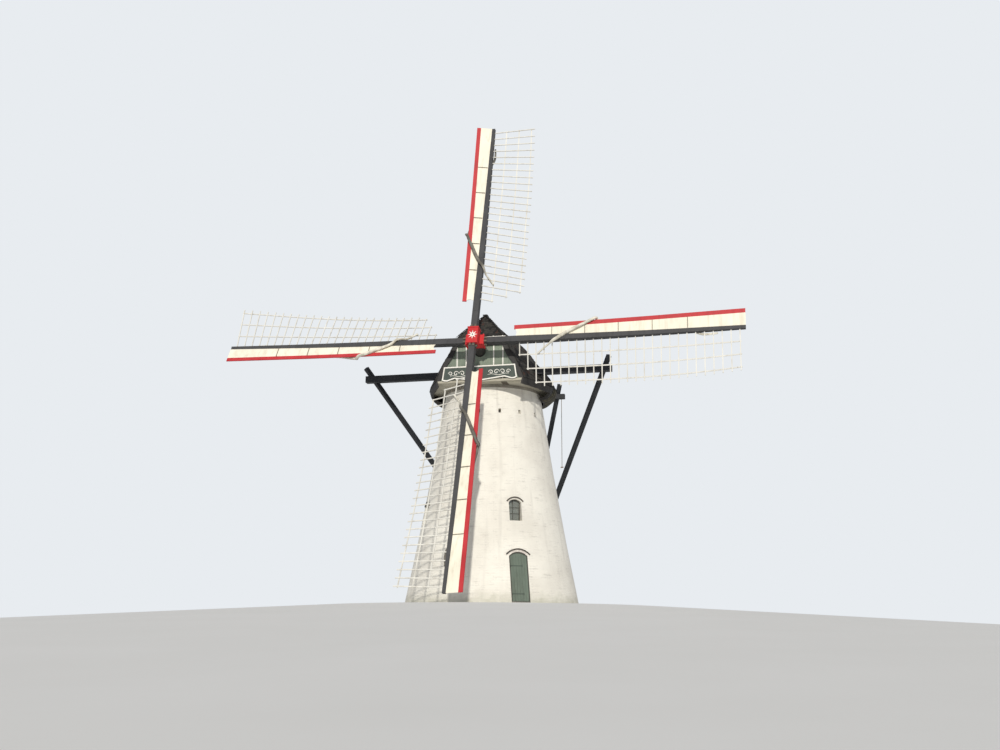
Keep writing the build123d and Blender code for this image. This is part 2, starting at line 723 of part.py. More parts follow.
# Roof: a bell-shaped shell, open in front, with slots for the beams.
roof_outer = roof_body(0) - hip_wedge(0)
roof_inner = roof_body(ROOF_SHELL) - hip_wedge(ROOF_SHELL)
keep_cap("cap_frame", (cap_frame & roof_inner) - short_spruce)
roof_slots = tail_pole(SLOT_GAP) + block(
    -SHORT_SPRUCE_HALF,
    SHORT_SPRUCE_HALF,
    short_front - SLOT_GAP,
    short_rear + SLOT_GAP,
    short_low - SLOT_GAP,
    short_high + SLOT_GAP,
)
roof_slots += block(
    -LONG_SPRUCE_HALF,
    LONG_SPRUCE_HALF,
    long_front - SLOT_GAP,
    long_rear + SLOT_GAP,
    sheer_top - SLOT_GAP,
    long_top + SLOT_GAP,
)
roof_shell = roof_outer - roof_inner
roof_shell -= disc(LIP_RADIUS, LIP_LEVEL - 1, LIP_LEVEL + ROOF_SHELL + 1)
roof_shell -= front_cut()
roof_shell -= roof_slots
roof_room = 2 * EAVES_RADIUS
right_half = block(0, roof_room, -roof_room, roof_room, 0, 2 * RIDGE_LEVEL)
roof_right = roof_shell & right_half
keep_cap("roof_right", roof_right)
keep_cap("roof_left", mirrored(roof_right))

# Boards that close the eaves from below and carry the roof on the ring.
eaves_top = ring_top + EAVES_BOARD
eaves_slab = block(-roof_room, roof_room, GABLE_PLANE, roof_room, ring_top, eaves_top)
eaves_boards = (roof_inner & eaves_slab) - disc(ring_inner, ring_top, eaves_top)
keep_cap("eaves_boards", eaves_boards - sheers - tail_pole(SLOT_GAP))

# Gable boards, battens, rail and verge.
gable_front = GABLE_PLANE + GABLE_RECESS
gable_slab = block(-roof_room, roof_room, gable_front, gable_front + GABLE_BOARD, eaves_top, RIDGE_LEVEL)
neck_hole = shaft_plane.location * Pos(0, 0, -NECK_END) * Cylinder(NECK_RADIUS + NECK_HOLE_GAP, 2 * NECK_END)
keep_cap("gable", (roof_inner & gable_slab) - neck_hole)

battens = []
for place in BATTEN_PLACES:
    batten = block(
        place - BATTEN_WIDTH / 2,
        place + BATTEN_WIDTH / 2,
        gable_front - BATTEN_THICKNESS,
        gable_front,
        eaves_top,
        RIDGE_LEVEL,
    )
    battens.append(batten & roof_inner)
rail = block(
    -RAIL_HALF,
    RAIL_HALF,
    GABLE_PLANE - RAIL_SECTION,
    GABLE_PLANE,
    RAIL_LEVEL - RAIL_SECTION / 2,
    RAIL_LEVEL + RAIL_SECTION / 2,
)
for place in BATTEN_PLACES:
    rail += Pos(place, GABLE_PLANE - BALL_RADIUS, RAIL_LEVEL) * Sphere(BALL_RADIUS)
keep_cap("gable_battens", solids_of(*battens, rail))

verge_slab = block(-roof_room, roof_room, GABLE_PLANE, GABLE_PLANE + VERGE_DEPTH, eaves_top, RIDGE_LEVEL)
verge_hole = roof_body(ROOF_SHELL + VERGE_WIDTH) - hip_wedge(ROOF_SHELL + VERGE_WIDTH)
keep_cap("verge_boards", (roof_inner & verge_slab) - verge_hole - neck_hole)

half_beard = [
    (0, BEARD_MIDDLE_FOOT),
    (BEARD_PEAK, BEARD_PEAK_FOOT),
    (BEARD_TROUGH, BEARD_TROUGH_FOOT),
    (BEARD_HALF_FOOT, BEARD_CORNER),
    (BEARD_HALF_TOP, BEARD_TOP),
]
other_beard = [(-x, z) for x, z in reversed(half_beard[1:])]
beard_face = Plane.XZ * make_face(Polyline(*half_beard, *other_beard, close=True))
beard = Pos(0, GABLE_PLANE, 0) * extrude(beard_face, amount=BEARD_THICKNESS, dir=(0, -1, 0))
keep_cap("beard_board", beard)

# Rope that works the brake, hanging from the short spruce, with a toggle on its end.
rope = Pos(ROPE_PLACE, SHORT_SPRUCE_PLANE, short_low - ROPE_LENGTH / 2) * Cylinder(ROPE_RADIUS, ROPE_LENGTH)
toggle = Rot(0, 90, 0) * Cylinder(TOGGLE_RADIUS, TOGGLE_LENGTH)
toggle = Pos(ROPE_PLACE, SHORT_SPRUCE_PLANE, short_low - ROPE_LENGTH) * toggle
keep_cap("brake_rope", rope - toggle)
keep_cap("rope_toggle", toggle)

# Sails. Each is drawn with its stock along Y, the lattice on +X and the front on +Z.
def bend(reach):
    """How far the stock has bent forward at a distance from the hub."""
    return STOCK_BEND * (max(reach, STOCK_STRAIGHT) / HALF_SPAN) ** 2


def tapered(reach, inner, tip):
    """Value that changes evenly from the straight part of the stock to its tip."""
    share = (reach - STOCK_STRAIGHT) / (HALF_SPAN - STOCK_STRAIGHT)
    return inner + (tip - inner) * share


def weather(reach):
    """Angle of a bar to the plane of the sails, in degrees."""
    share = max(0, (reach - FIRST_BAR) / (HALF_SPAN - FIRST_BAR))
    return WEATHER_INNER - WEATHER_CHANGE * share**WEATHER_POWER


def bar_reach(number):
    """Distance of a bar from the hub, counted from the inner end."""
    return FIRST_BAR + BAR_PITCH * (number - 1)


def section_at(reach, points):
    """Flat face across the sail through points given as x and z."""
    return make_face(Polyline(*[(x, reach, z) for x, z in points], close=True))


def half_stock():
    """One arm of a stock, from the hub out."""
    arm = block(-STOCK_WIDTH / 2, STOCK_WIDTH / 2, 0, STOCK_STRAIGHT, -STOCK_DEPTH / 2, STOCK_DEPTH / 2)
    sections = []
    for number in range(STOCK_STATIONS + 1):
        reach = STOCK_STRAIGHT + (HALF_SPAN - STOCK_STRAIGHT) * number / STOCK_STATIONS
        wide = tapered(reach, STOCK_WIDTH, STOCK_TIP_WIDTH) / 2
        deep = tapered(reach, STOCK_DEPTH, STOCK_TIP_DEPTH) / 2
        middle = bend(reach) - bend(STOCK_STRAIGHT)
        low = middle - deep
        high = middle + deep
        sections.append(section_at(reach, [(-wide, low), (wide, low), (wide, high), (-wide, high)]))
    for near, far in zip(sections, sections[1:]):
        arm += loft([near, far], ruled=True)
    return arm


arm_stock = half_stock()
whole_stock = arm_stock + Rot(0, 0, 180) * arm_stock


def lath_point(number, place):
    """Middle of a lath where it crosses a bar."""
    reach = bar_reach(number)
    tilt = radians(weather(reach))
    back = (BAR_THICKNESS + LATH_THICKNESS) / 2 - LATH_HOUSING
    x = place * cos(tilt) - back * sin(tilt)
    z = bend(reach) - place * sin(tilt) - back * cos(tilt)
    return x, reach, z


def lath(place, first):
    """One lath behind the bars, in straight runs from bar to bar."""
    stops = list(range(first, BARS, LATH_STEP)) + [BARS]
    tilt = radians(LATH_TILT)
    sections = []
    for number in stops:
        x, reach, z = lath_point(number, place)
        if number == first:
            reach -= BAR_END
        if number == BARS:
            reach += BAR_END
        corners = []
        for side, face in ((-1, -1), (1, -1), (1, 1), (-1, 1)):
            across = side * LATH_WIDTH / 2
            thick = face * LATH_THICKNESS / 2
            corner_x = x + across * cos(tilt) + thick * sin(tilt)
            corner_z = z - across * sin(tilt) + thick * cos(tilt)
            corners.append((corner_x, corner_z))
        sections.append(section_at(reach, corners))
    run = None
    for near, far in zip(sections, sections[1:]):
        piece = loft([near, far], ruled=True)
        run = piece if run is None else run + piece
    return run


def board_line(reach):
    """Root and leading edge of the wind boards at a distance from the hub, as x and z."""
    middle = bend(reach)
    root_x = -tapered(reach, STOCK_WIDTH, STOCK_TIP_WIDTH) / 2 - BOARD_STOCK_GAP
    root_z = middle + tapered(reach, STOCK_DEPTH, STOCK_TIP_DEPTH) / 2
    lead_x = -tapered(reach, BOARD_LEAD_INNER, BOARD_LEAD_TIP)
    lead_z = middle + tapered(reach, BOARD_RISE_INNER, BOARD_RISE_TIP)
    return Vector(root_x, 0, root_z), Vector(lead_x, 0, lead_z)


def board_section(reach, from_root, from_lead, thickness):
    """Section of a board between two distances, measured from the root and from the lead."""
    root, lead = board_line(reach)
    way = (lead - root).normalized()
    back = Vector(way.Z, 0, -way.X)
    if back.Z > 0:
        back = back * -1
    near = root + way * from_root
    if from_root < 0:
        near = lead + way * from_root
    far = lead - way * from_lead
    points = [near, far, far + back * thickness, near + back * thickness]
    return section_at(reach, [(point.X, point.Z) for point in points])


def board(start, end, from_root, from_lead, thickness):
    """Board between two distances from the hub."""
    sections = [board_section(reach, from_root, from_lead, thickness) for reach in (start, end)]
    return loft(sections, ruled=True)


seams = [BOARD_START] + [bar_reach(number) for number in BOARD_SEAM_BARS] + [HALF_SPAN]
white_boards = []
red_board = None
for start, end in zip(seams, seams[1:]):
    panel = board(start, end, 0, RED_WIDTH, BOARD_THICKNESS)
    gap = BOARD_SEAM / 2
    low = start if start == BOARD_START else start + gap
    high = end if end == HALF_SPAN else end - gap
    room = block(-HALF_SPAN, HALF_SPAN, low, high, -HALF_SPAN, HALF_SPAN)
    white_boards.append(panel & room)
    strip = board(start, end, -RED_WIDTH, 0, RED_THICKNESS)
    red_board = strip if red_board is None else red_board + strip
root, lead = board_line(BOARD_START)
scallop_x = (root.X + lead.X + RED_WIDTH) / 2
scallop_y = BOARD_START + SCALLOP_DEPTH - SCALLOP_RADIUS
white_boards[0] = white_boards[0] - Pos(scallop_x, scallop_y, 0) * Cylinder(SCALLOP_RADIUS, HALF_SPAN)


def board_arm(number):
    """Arm behind the boards, from inside the stock to near the leading edge."""
    reach = bar_reach(number)
    root, lead = board_line(reach)
    way = (lead - root).normalized()
    plane = Plane(origin=(root.X, reach, root.Z), x_dir=(way.X, 0, way.Z), z_dir=(0, 1, 0))
    length = (lead - root).length - ARM_END
    near = ARM_HOUSING - BOARD_THICKNESS
    far = near - ARM_THICKNESS
    outline = Polyline((-ARM_BITE, near), (length, near), (length, far), (-ARM_BITE, far), close=True)
    flat = make_face(outline)
    return plane.location * extrude(flat, amount=ARM_WIDTH / 2, both=True)


def lattice():
    """Bars and laths in one frame, and the arms of the boards, cut to the stock."""
    frame = None
    for number in range(1, BARS + 1):
        reach = bar_reach(number)
        length = BAR_REACH
        if number <= len(LATH_PLACES):
            length = LATH_PLACES[number - 1] + BAR_END
        bar = block(0, length, -BAR_WIDTH / 2, BAR_WIDTH / 2, -BAR_THICKNESS / 2, BAR_THICKNESS / 2)
        bar = Pos(0, reach, bend(reach)) * (Rot(0, weather(reach), 0) * bar)
        frame = bar if frame is None else frame + bar
    for number, place in enumerate(LATH_PLACES):
        frame += lath(place, number + 1)
    frame -= arm_stock
    arms = []
    for number in range(1, BARS + 1, ARM_STEP):
        arm = board_arm(number) - arm_stock
        for panel in white_boards:
            arm -= panel
        arms.append(arm - red_board)
    return solids_of(frame, *arms)


sail_frame = lattice()
sail_names = ("top", "right", "bottom", "left")
white_set = []
red_set = []
for number, name in enumerate(sail_names):
    origin = hub if number % 2 == 0 else rear_hub
    plane = Plane(origin=origin, x_dir=(1, 0, 0), z_dir=shaft_dir)
    place = plane.location * Rot(0, 0, -CROSS_TURN - 90 * number)
    keep_cap(f"sail_frame_{name}", place * sail_frame)
    white_set += [place * panel for panel in white_boards]
    red_set.append(place * red_board)
keep_cap("wind_boards", solids_of(*white_set))
keep_cap("leading_boards", solids_of(*red_set))

outer_place = shaft_plane.location * Rot(0, 0, -CROSS_TURN)
inner_place = Plane(origin=rear_hub, x_dir=(1, 0, 0), z_dir=shaft_dir).location * Rot(0, 0, -CROSS_TURN - 90)
outer_stock = outer_place * whole_stock
inner_stock = inner_place * whole_stock
keep_cap("outer_stock", outer_stock)
keep_cap("inner_stock", inner_stock)

# Poll end: two boxes for the stocks on the neck of the windshaft.
socket_box = Box(SOCKET_WIDTH, SOCKET_LENGTH, SOCKET_DEPTH)
front_socket = outer_place * socket_box
rear_socket = inner_place * socket_box
filler_depth = STOCK_SPACING - SOCKET_DEPTH
filler = Pos(0, 0, -STOCK_SPACING / 2) * Box(SOCKET_WIDTH, SOCKET_WIDTH, filler_depth)
filler = shaft_plane.location * Rot(0, 0, -CROSS_TURN) * filler
poll_rear = -STOCK_SPACING - SOCKET_DEPTH / 2
keep_cap("poll_end", front_socket + rear_socket + filler - outer_stock - inner_stock)

neck_length = NECK_END + poll_rear
neck = Pos(0, 0, poll_rear - neck_length / 2) * Cylinder(NECK_RADIUS, neck_length)
octagon = extrude(RegularPolygon(SHAFT_RADIUS, 8), amount=SHAFT_END - NECK_END)
journal = Pos(0, 0, -(SHAFT_END + JOURNAL_END) / 2) * Cylinder(JOURNAL_RADIUS, JOURNAL_END - SHAFT_END)
windshaft = neck + Pos(0, 0, -SHAFT_END) * octagon + journal
keep_cap("windshaft", shaft_plane.location * windshaft)

# Where the joints are, for the record.
turned = face_wind * Pos(hub)
print("hub", [round(value, 2) for value in turned.position])
shaft_way = Vector(shaft_dir.X, shaft_dir.Y, shaft_dir.Z).rotate(Axis.Z, CAP_TURN)
print("shaft axis", [round(value, 6) for value in shaft_way])
hinge_line = door_plane.location * Pos(hinge_x, 0, hinge_z)
print("front hinge", [round(value, 2) for value in hinge_line.position])
print("front hinge axis", [round(value, 6) for value in door_plane.y_dir])
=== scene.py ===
import bmesh
import bpy
import json
import math
import random
from mathutils import Matrix, Vector

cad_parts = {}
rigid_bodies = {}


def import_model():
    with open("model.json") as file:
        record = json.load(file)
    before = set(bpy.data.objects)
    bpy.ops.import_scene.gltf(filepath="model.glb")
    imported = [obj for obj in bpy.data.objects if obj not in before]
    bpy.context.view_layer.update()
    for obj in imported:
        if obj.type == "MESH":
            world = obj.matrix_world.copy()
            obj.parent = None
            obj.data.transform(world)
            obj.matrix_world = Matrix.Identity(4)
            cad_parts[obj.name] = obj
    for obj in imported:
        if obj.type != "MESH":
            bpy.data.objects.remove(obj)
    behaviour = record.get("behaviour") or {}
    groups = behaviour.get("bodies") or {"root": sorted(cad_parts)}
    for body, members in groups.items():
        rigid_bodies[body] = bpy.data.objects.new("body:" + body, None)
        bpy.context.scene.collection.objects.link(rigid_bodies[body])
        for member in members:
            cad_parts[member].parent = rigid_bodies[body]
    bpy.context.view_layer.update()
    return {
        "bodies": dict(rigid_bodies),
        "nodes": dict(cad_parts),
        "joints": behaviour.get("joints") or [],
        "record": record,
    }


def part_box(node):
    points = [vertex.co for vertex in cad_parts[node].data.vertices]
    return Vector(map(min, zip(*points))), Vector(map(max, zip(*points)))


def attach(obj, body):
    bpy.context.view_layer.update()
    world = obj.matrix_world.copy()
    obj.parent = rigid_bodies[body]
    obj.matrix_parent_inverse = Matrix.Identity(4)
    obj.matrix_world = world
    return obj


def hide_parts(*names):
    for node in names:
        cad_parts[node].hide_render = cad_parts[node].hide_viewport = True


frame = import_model()
nodes = frame["nodes"]

# Brake rope. A hemp rope as thick as a thumb hangs from the end of the short beam
# through the cap, and a turned oak handle is tied to its lower end.
CAP_TURN = math.radians(-31.5)
ROPE_PLACE = (3.12, 2.505)
ROPE_TOP = 10.905
ROPE_LENGTH = 3.65
ROPE_RADIUS = 0.014
ROPE_DROPS = (0, 0.12, 1.2, 2.4, 3.5, ROPE_LENGTH)
TOGGLE_OUTLINE = ((-0.075, 0.012), (-0.072, 0.024), (-0.05, 0.031), (-0.02, 0.026), (0, 0.022))
TOGGLE_SIDES = 24

cap_to_part = Matrix.Rotation(CAP_TURN, 4, "Z")


def srgb(red, green, blue):
    """Colour as a shader wants it, from the red, green and blue that a screen shows."""
    steps = [value / 255 for value in (red, green, blue)]
    return (*[step / 12.92 if step < 0.04 else ((step + 0.055) / 1.055) ** 2.4 for step in steps], 1)


def give(socket, value):
    """Links a socket to what it is given, or sets it. A colour of three numbers is a screen's."""
    if isinstance(value, bpy.types.NodeSocket):
        socket.id_data.links.new(value, socket)
    else:
        socket.default_value = srgb(*value) if socket.type == "RGBA" and len(value) == 3 else value


def add_node(tree, kind, values=(), **settings):
    """Shader node with its settings; each value is a number, a colour or a linked socket."""
    node = tree.nodes.new(kind)
    for name, value in settings.items():
        setattr(node, name, value)
    for name, value in values:
        give(node.inputs[name], value)
    return node


def made_by(kind, values, output=0, **settings):
    """Output of a new node, in the tree that the sockets among its values are in."""
    tree = next(value.id_data for _, value in values if isinstance(value, bpy.types.NodeSocket))
    return add_node(tree, kind, values, **settings).outputs[output]


def calculate(operation, first, second=0.0, third=0.0):
    """Result of one sum on numbers or sockets."""
    return made_by("ShaderNodeMath", ((0, first), (1, second), (2, third)), operation=operation)


def times(first, second):
    """Product of two numbers or sockets."""
    return calculate("MULTIPLY", first, second)


def mix(share, first, second, way="MIX"):
    """Two colours mixed by a share."""
    values = ((0, share), (6, first), (7, second))
    return made_by("ShaderNodeMix", values, 2, data_type="RGBA", blend_type=way)


def mask(value, low, high):
    """Mask that rises from 0 to 1 while a value goes from low to high."""
    values = (("Value", value), ("From Min", low), ("From Max", high))
    return made_by("ShaderNodeMapRange", values, interpolation_type="SMOOTHSTEP")


def noise(place, scale, detail=3.0, roughness=0.5):
    """Cloudy noise at a place."""
    values = (("Vector", place), ("Scale", scale), ("Detail", detail), ("Roughness", roughness))
    return made_by("ShaderNodeTexNoise", values)


def stretched(place, scale, turn=(0, 0, 0)):
    """Place turned and scaled, so that a pattern runs long in one direction."""
    return made_by("ShaderNodeMapping", (("Vector", place), ("Rotation", turn), ("Scale", scale)))


def streaks(place, scale, detail=3.0, roughness=0.5):
    """Noise that is drawn out by a different scale in each direction."""
    return noise(stretched(place, scale), 1.0, detail, roughness)


def new_finish(name, roughness=0.6):
    """Material, its nodes, and the place of each point in the windmill's own frame."""
    finish = bpy.data.materials.new(name)
    finish.use_nodes = True
    tree = finish.node_tree
    tree.nodes["Principled BSDF"].inputs["Roughness"].default_value = roughness
    return finish, tree, tree.nodes.new("ShaderNodeTexCoord").outputs["Object"]


def complete(finish, colour, height, depth):
    """The finish with its colour, and with its relief from a height between 0 and 1."""
    tree = finish.node_tree
    shader = tree.nodes["Principled BSDF"]
    bump = add_node(tree, "ShaderNodeBump", (("Height", height), ("Distance", depth), ("Strength", 1.0)))
    give(shader.inputs["Base Color"], colour)
    give(shader.inputs["Normal"], bump.outputs[0])
    return finish


def clouded(name, roughness, spread, detail, dark, light, depth):
    """Finish that clouds between two tones; spread is how fast they change in each direction."""
    finish, tree, place = new_finish(name, roughness)
    clouds = streaks(place, spread, detail)
    return complete(finish, mix(clouds, dark, light), clouds, depth)


def in_scene(name, data):
    """Object with its mesh, line, camera or light, in the scene."""
    thing = bpy.data.objects.new(name, data)
    bpy.context.collection.objects.link(thing)
    return thing


def new_mesh(name, points, faces, finish, smooth):
    """Object with a mesh and its finish."""
    mesh = bpy.data.meshes.new(name)
    mesh.from_pydata(points, [], faces)
    mesh.materials.append(finish)
    mesh.polygons.foreach_set("use_smooth", [smooth] * len(mesh.polygons))
    mesh.update()
    return in_scene(name, mesh)


def make_piece(name, parts, finish, body, smooth=False):
    """Piece of the windmill in one mesh, from parts with points and faces, which rides on a body."""
    points = []
    faces = []
    for more_points, more_faces in parts:
        base = len(points)
        points += [tuple(point) for point in more_points]
        faces += [tuple(base + corner for corner in face) for face in more_faces]
    piece = new_mesh(name, points, faces, finish, smooth)
    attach(piece, body)
    return piece


def dress(finish, *names):
    """Gives CAD pieces their finish."""
    for name in names:
        for place in nodes[name].material_slots:
            place.material = finish


def tube_faces(rings, sides):
    """Faces of a tube between rings of points, with both ends closed."""
    faces = []
    for ring in range(rings - 1):
        for side in range(sides):
            after = (side + 1) % sides
            low = ring * sides
            faces.append((low + side, low + after, low + sides + after, low + sides + side))
    faces.append(tuple(reversed(range(sides))))
    faces.append(tuple((rings - 1) * sides + side for side in range(sides)))
    return faces


def circle(radius, sides, x=0.0, y=0.0):
    """Points round a circle."""
    angles = [2 * math.pi * number / sides for number in range(sides)]
    return [(x + radius * math.cos(angle), y + radius * math.sin(angle)) for angle in angles]


def rope_finish():
    """Hemp, laid in three strands."""
    finish, tree, place = new_finish("hemp_rope", 0.85)
    values = (("Vector", stretched(place, (60, 60, 26))), ("Scale", 1.0), ("Distortion", 0.6))
    strands = made_by("ShaderNodeTexWave", values, "Fac", bands_direction="DIAGONAL")
    colour = mix(strands, (92, 78, 58), (168, 148, 114))
    colour = mix(times(noise(place, 260.0), 0.5), colour, (120, 112, 98))
    return complete(finish, colour, strands, 0.006)


rope_curve = bpy.data.curves.new("brake_rope_line", "CURVE")
rope_curve.dimensions = "3D"
rope_spline = rope_curve.splines.new("NURBS")
rope_spline.points.add(len(ROPE_DROPS) - 1)
for point, drop in zip(rope_spline.points, ROPE_DROPS):
    point.co = (*(cap_to_part @ Vector((*ROPE_PLACE, ROPE_TOP - drop))), 1)
rope_spline.order_u = 3
rope_spline.use_endpoint_u = True
rope_curve.bevel_depth = ROPE_RADIUS
rope_curve.bevel_resolution = 4
rope_curve.materials.append(rope_finish())
rope = in_scene("hemp_brake_rope", rope_curve)
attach(rope, "cap")
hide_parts("brake_rope")

toggle_foot = Vector((*ROPE_PLACE, ROPE_TOP - ROPE_LENGTH))
toggle_rings = [*TOGGLE_OUTLINE, *[(-place, radius) for place, radius in reversed(TOGGLE_OUTLINE[:-1])]]
toggle_points = []
for place, radius in toggle_rings:
    for y, z in circle(radius, TOGGLE_SIDES):
        toggle_points.append(cap_to_part @ (toggle_foot + Vector((place, y, z))))
toggle_parts = [(toggle_points, tube_faces(len(toggle_rings), TOGGLE_SIDES))]
turned_oak = clouded("turned_oak", 0.5, (60, 60, 8), 4.0, (84, 62, 40), (150, 118, 80), 0.001)
toggle = make_piece("turned_toggle", toggle_parts, turned_oak, "cap", smooth=True)
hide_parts("rope_toggle")

# Camera. It stands on low ground to the left of the door, about fifty metres off,
# and looks up at the cap, as the photograph does.
CAMERA_PLACE = (-16.4003, -49.5073, -1.464)
CAMERA_HEADING = math.radians(18.70)
CAMERA_CLIMB = math.radians(14.22)
CAMERA_ROLL = math.radians(0.32)
CAMERA_LENS = 37.595
UP = Vector((0, 0, 1))

ahead = Vector((math.sin(CAMERA_HEADING), math.cos(CAMERA_HEADING), math.tan(CAMERA_CLIMB))).normalized()
level_right = ahead.cross(UP).normalized()
level_up = level_right.cross(ahead)
camera_right = level_right * math.cos(CAMERA_ROLL) + level_up * math.sin(CAMERA_ROLL)
camera_up = level_up * math.cos(CAMERA_ROLL) - level_right * math.sin(CAMERA_ROLL)
camera_turn = Matrix((camera_right, camera_up, -ahead)).transposed().to_4x4()
camera_data = bpy.data.cameras.new("photo_camera")
camera_data.lens = CAMERA_LENS
camera_data.clip_end = 500
camera = in_scene("photo_camera", camera_data)
camera.matrix_world = Matrix.Translation(CAMERA_PLACE) @ camera_turn
bpy.context.scene.camera = camera

# Floor and light. A pale floor, level under the tower and falling away round it so that
# the low camera stays above it, one soft low sun behind the camera and an even pale sky.
FLOOR_LEVEL_REACH = 9.0
FLOOR_FALL = 0.06
FLOOR_DROP = 0.002
FLOOR_REACHES = (0.01, 4, FLOOR_LEVEL_REACH, 10, 14, 20, 30, 45, 70, 110, 170)
FLOOR_SIDES = 96
SUN_FROM = (-0.3, -0.858, 0.415)
SUN_STRENGTH = 2.42
SUN_SIZE = math.radians(2)
SKY_LIGHT = 0.45

floor_points = []
for reach in FLOOR_REACHES:
    fall = max(0, reach - FLOOR_LEVEL_REACH) * FLOOR_FALL
    floor_points += [(x, y, -fall - FLOOR_DROP) for x, y in circle(reach, FLOOR_SIDES)]
floor_faces = tube_faces(len(FLOOR_REACHES), FLOOR_SIDES)[:-1]
floor_finish, tree, place = new_finish("floor_plaster", 0.9)
shade = mix(noise(place, 0.35), (222, 222, 219), (228, 228, 226))
give(tree.nodes["Principled BSDF"].inputs["Base Color"], shade)
floor = new_mesh("pale_floor", floor_points, floor_faces, floor_finish, True)

sky = bpy.data.worlds.new("pale_sky")
bpy.context.scene.world = sky
sky.use_nodes = True
tree = sky.node_tree
seen = tree.nodes["Background"]
give(seen.inputs["Color"], (232, 236, 240))
give(seen.inputs["Strength"], 1)
fill = add_node(tree, "ShaderNodeBackground", (("Color", (244, 247, 255)), ("Strength", SKY_LIGHT)))
rays = add_node(tree, "ShaderNodeLightPath").outputs
shown = calculate("MAXIMUM", rays["Is Camera Ray"], rays["Is Transmission Ray"])
pick = add_node(tree, "ShaderNodeMixShader", ((0, shown), (1, fill.outputs[0]), (2, seen.outputs[0])))
tree.links.new(pick.outputs[0], tree.nodes["World Output"].inputs[0])

sun_data = bpy.data.lights.new("soft_sun", "SUN")
sun_data.energy = SUN_STRENGTH
sun_data.angle = SUN_SIZE
sun_data.color = srgb(255, 250, 240)[:3]
sun = in_scene("soft_sun", sun_data)
sun.rotation_euler = Vector(SUN_FROM).to_track_quat("Z", "Y").to_euler()
bpy.context.scene.view_settings.view_transform = "Standard"

# Tower walls. Hand-made bricks laid in lime, about thirteen courses to the metre, brushed
# over with many coats of limewash that wears off along the courses.
BRICK_LENGTH = 0.22
BRICK_COURSE = 0.075
BRICK_JOINT = 0.009
WALL_MIDDLE_RADIUS = 3.4
LIMEWASH = (246, 243, 233)
LIMEWASH_WORN = (230, 226, 216)
PINKISH_BRICK = (212, 203, 196)
WALL_GREY = (168, 164, 156)
WALL_FOOT_GREEN = (150, 152, 128)


def limewash_finish(name, soffit=False):
    """Limewashed brickwork; a soffit shows more of the pinkish brick."""
    finish, tree, place = new_finish(name, 0.92)
    parts = add_node(tree, "ShaderNodeSeparateXYZ", ((0, place),)).outputs
    around = times(calculate("ARCTAN2", parts[1], parts[0]), WALL_MIDDLE_RADIUS)
    unrolled = made_by("ShaderNodeCombineXYZ", ((0, around), (1, parts[2])))
    values = [("Vector", unrolled), ("Scale", 1.0), ("Mortar Size", BRICK_JOINT), ("Mortar Smooth", 0.6)]
    values += [("Brick Width", BRICK_LENGTH), ("Row Height", BRICK_COURSE)]
    joints = made_by("ShaderNodeTexBrick", values, "Fac")
    clouds = noise(unrolled, 0.45, 4.0, 0.6)
    patches = noise(unrolled, 2.6, 5.0, 0.6)
    colour = mix(mask(clouds, 0.36, 0.72), LIMEWASH, LIMEWASH_WORN)
    courses = streaks(unrolled, (0.9, 13.3, 1), 2.0)
    thin = times(mask(courses, 0.56, 0.7), mask(patches, 0.42, 0.62))
    colour = mix(times(thin, 0.34), colour, WALL_GREY)
    worn_joints = times(joints, mask(patches, 0.5, 0.68))
    colour = mix(times(worn_joints, 0.4), colour, WALL_GREY)
    runs = streaks(unrolled, (2.4, 0.16, 1))
    colour = mix(times(mask(runs, 0.55, 0.75), 0.22), colour, WALL_GREY)
    splash = calculate("ADD", parts[2], times(patches, 1.1))
    colour = mix(times(mask(splash, 1.35, 0.45), 0.55), colour, WALL_FOOT_GREEN)
    if soffit:
        colour = mix(mask(patches, 0.42, 0.62), colour, PINKISH_BRICK)
    grit = times(noise(place, 38.0, 4.0), 0.35)
    height = calculate("MULTIPLY_ADD", joints, -0.42, grit)
    height = calculate("MULTIPLY_ADD", noise(place, 3.2, 3.0), 1.1, height)
    return complete(finish, colour, height, 0.014)


limewash = limewash_finish("limewashed_brick")
dress(limewash, "door_arches", *[name for name in nodes if "_wall_" in name])

# Brick arches and drips. A ring of bricks on edge spans each opening, limewashed on the
# face and pinkish below, and a thin curved course of dark tiles over it throws off the rain.
ARCH_HEIGHT = 0.098
ARCH_BRICK = 0.062
ARCH_JOINT = 0.008
ARCH_PROUD = 0.005
ARCH_BELOW = 0.004
ARCH_INLET = 0.05
DOOR_ARCH = (0.45, 2.27, 2.46, 0.035)
WINDOW_ARCH = (0.31, 4.79, 4.94, 0.255)
GROUND_STOREY_TOP = 3
GROUND_WALL_WAY = Vector((0.8, -0.6, 0))
MIDDLE_WALL_WAY = Vector((0.9, 0.436, 0))
OUTSIDE_TOWER = 10


def wall_radius(level):
    """Radius of the outer face of the wall at a height, read from the CAD wall."""
    low = level < GROUND_STOREY_TOP
    way = GROUND_WALL_WAY if low else MIDDLE_WALL_WAY
    wall = nodes["ground_wall_right_front" if low else "middle_wall_right"]
    return wall.ray_cast(Vector((0, 0, level)) + way * OUTSIDE_TOWER, -way)[1].to_2d().length


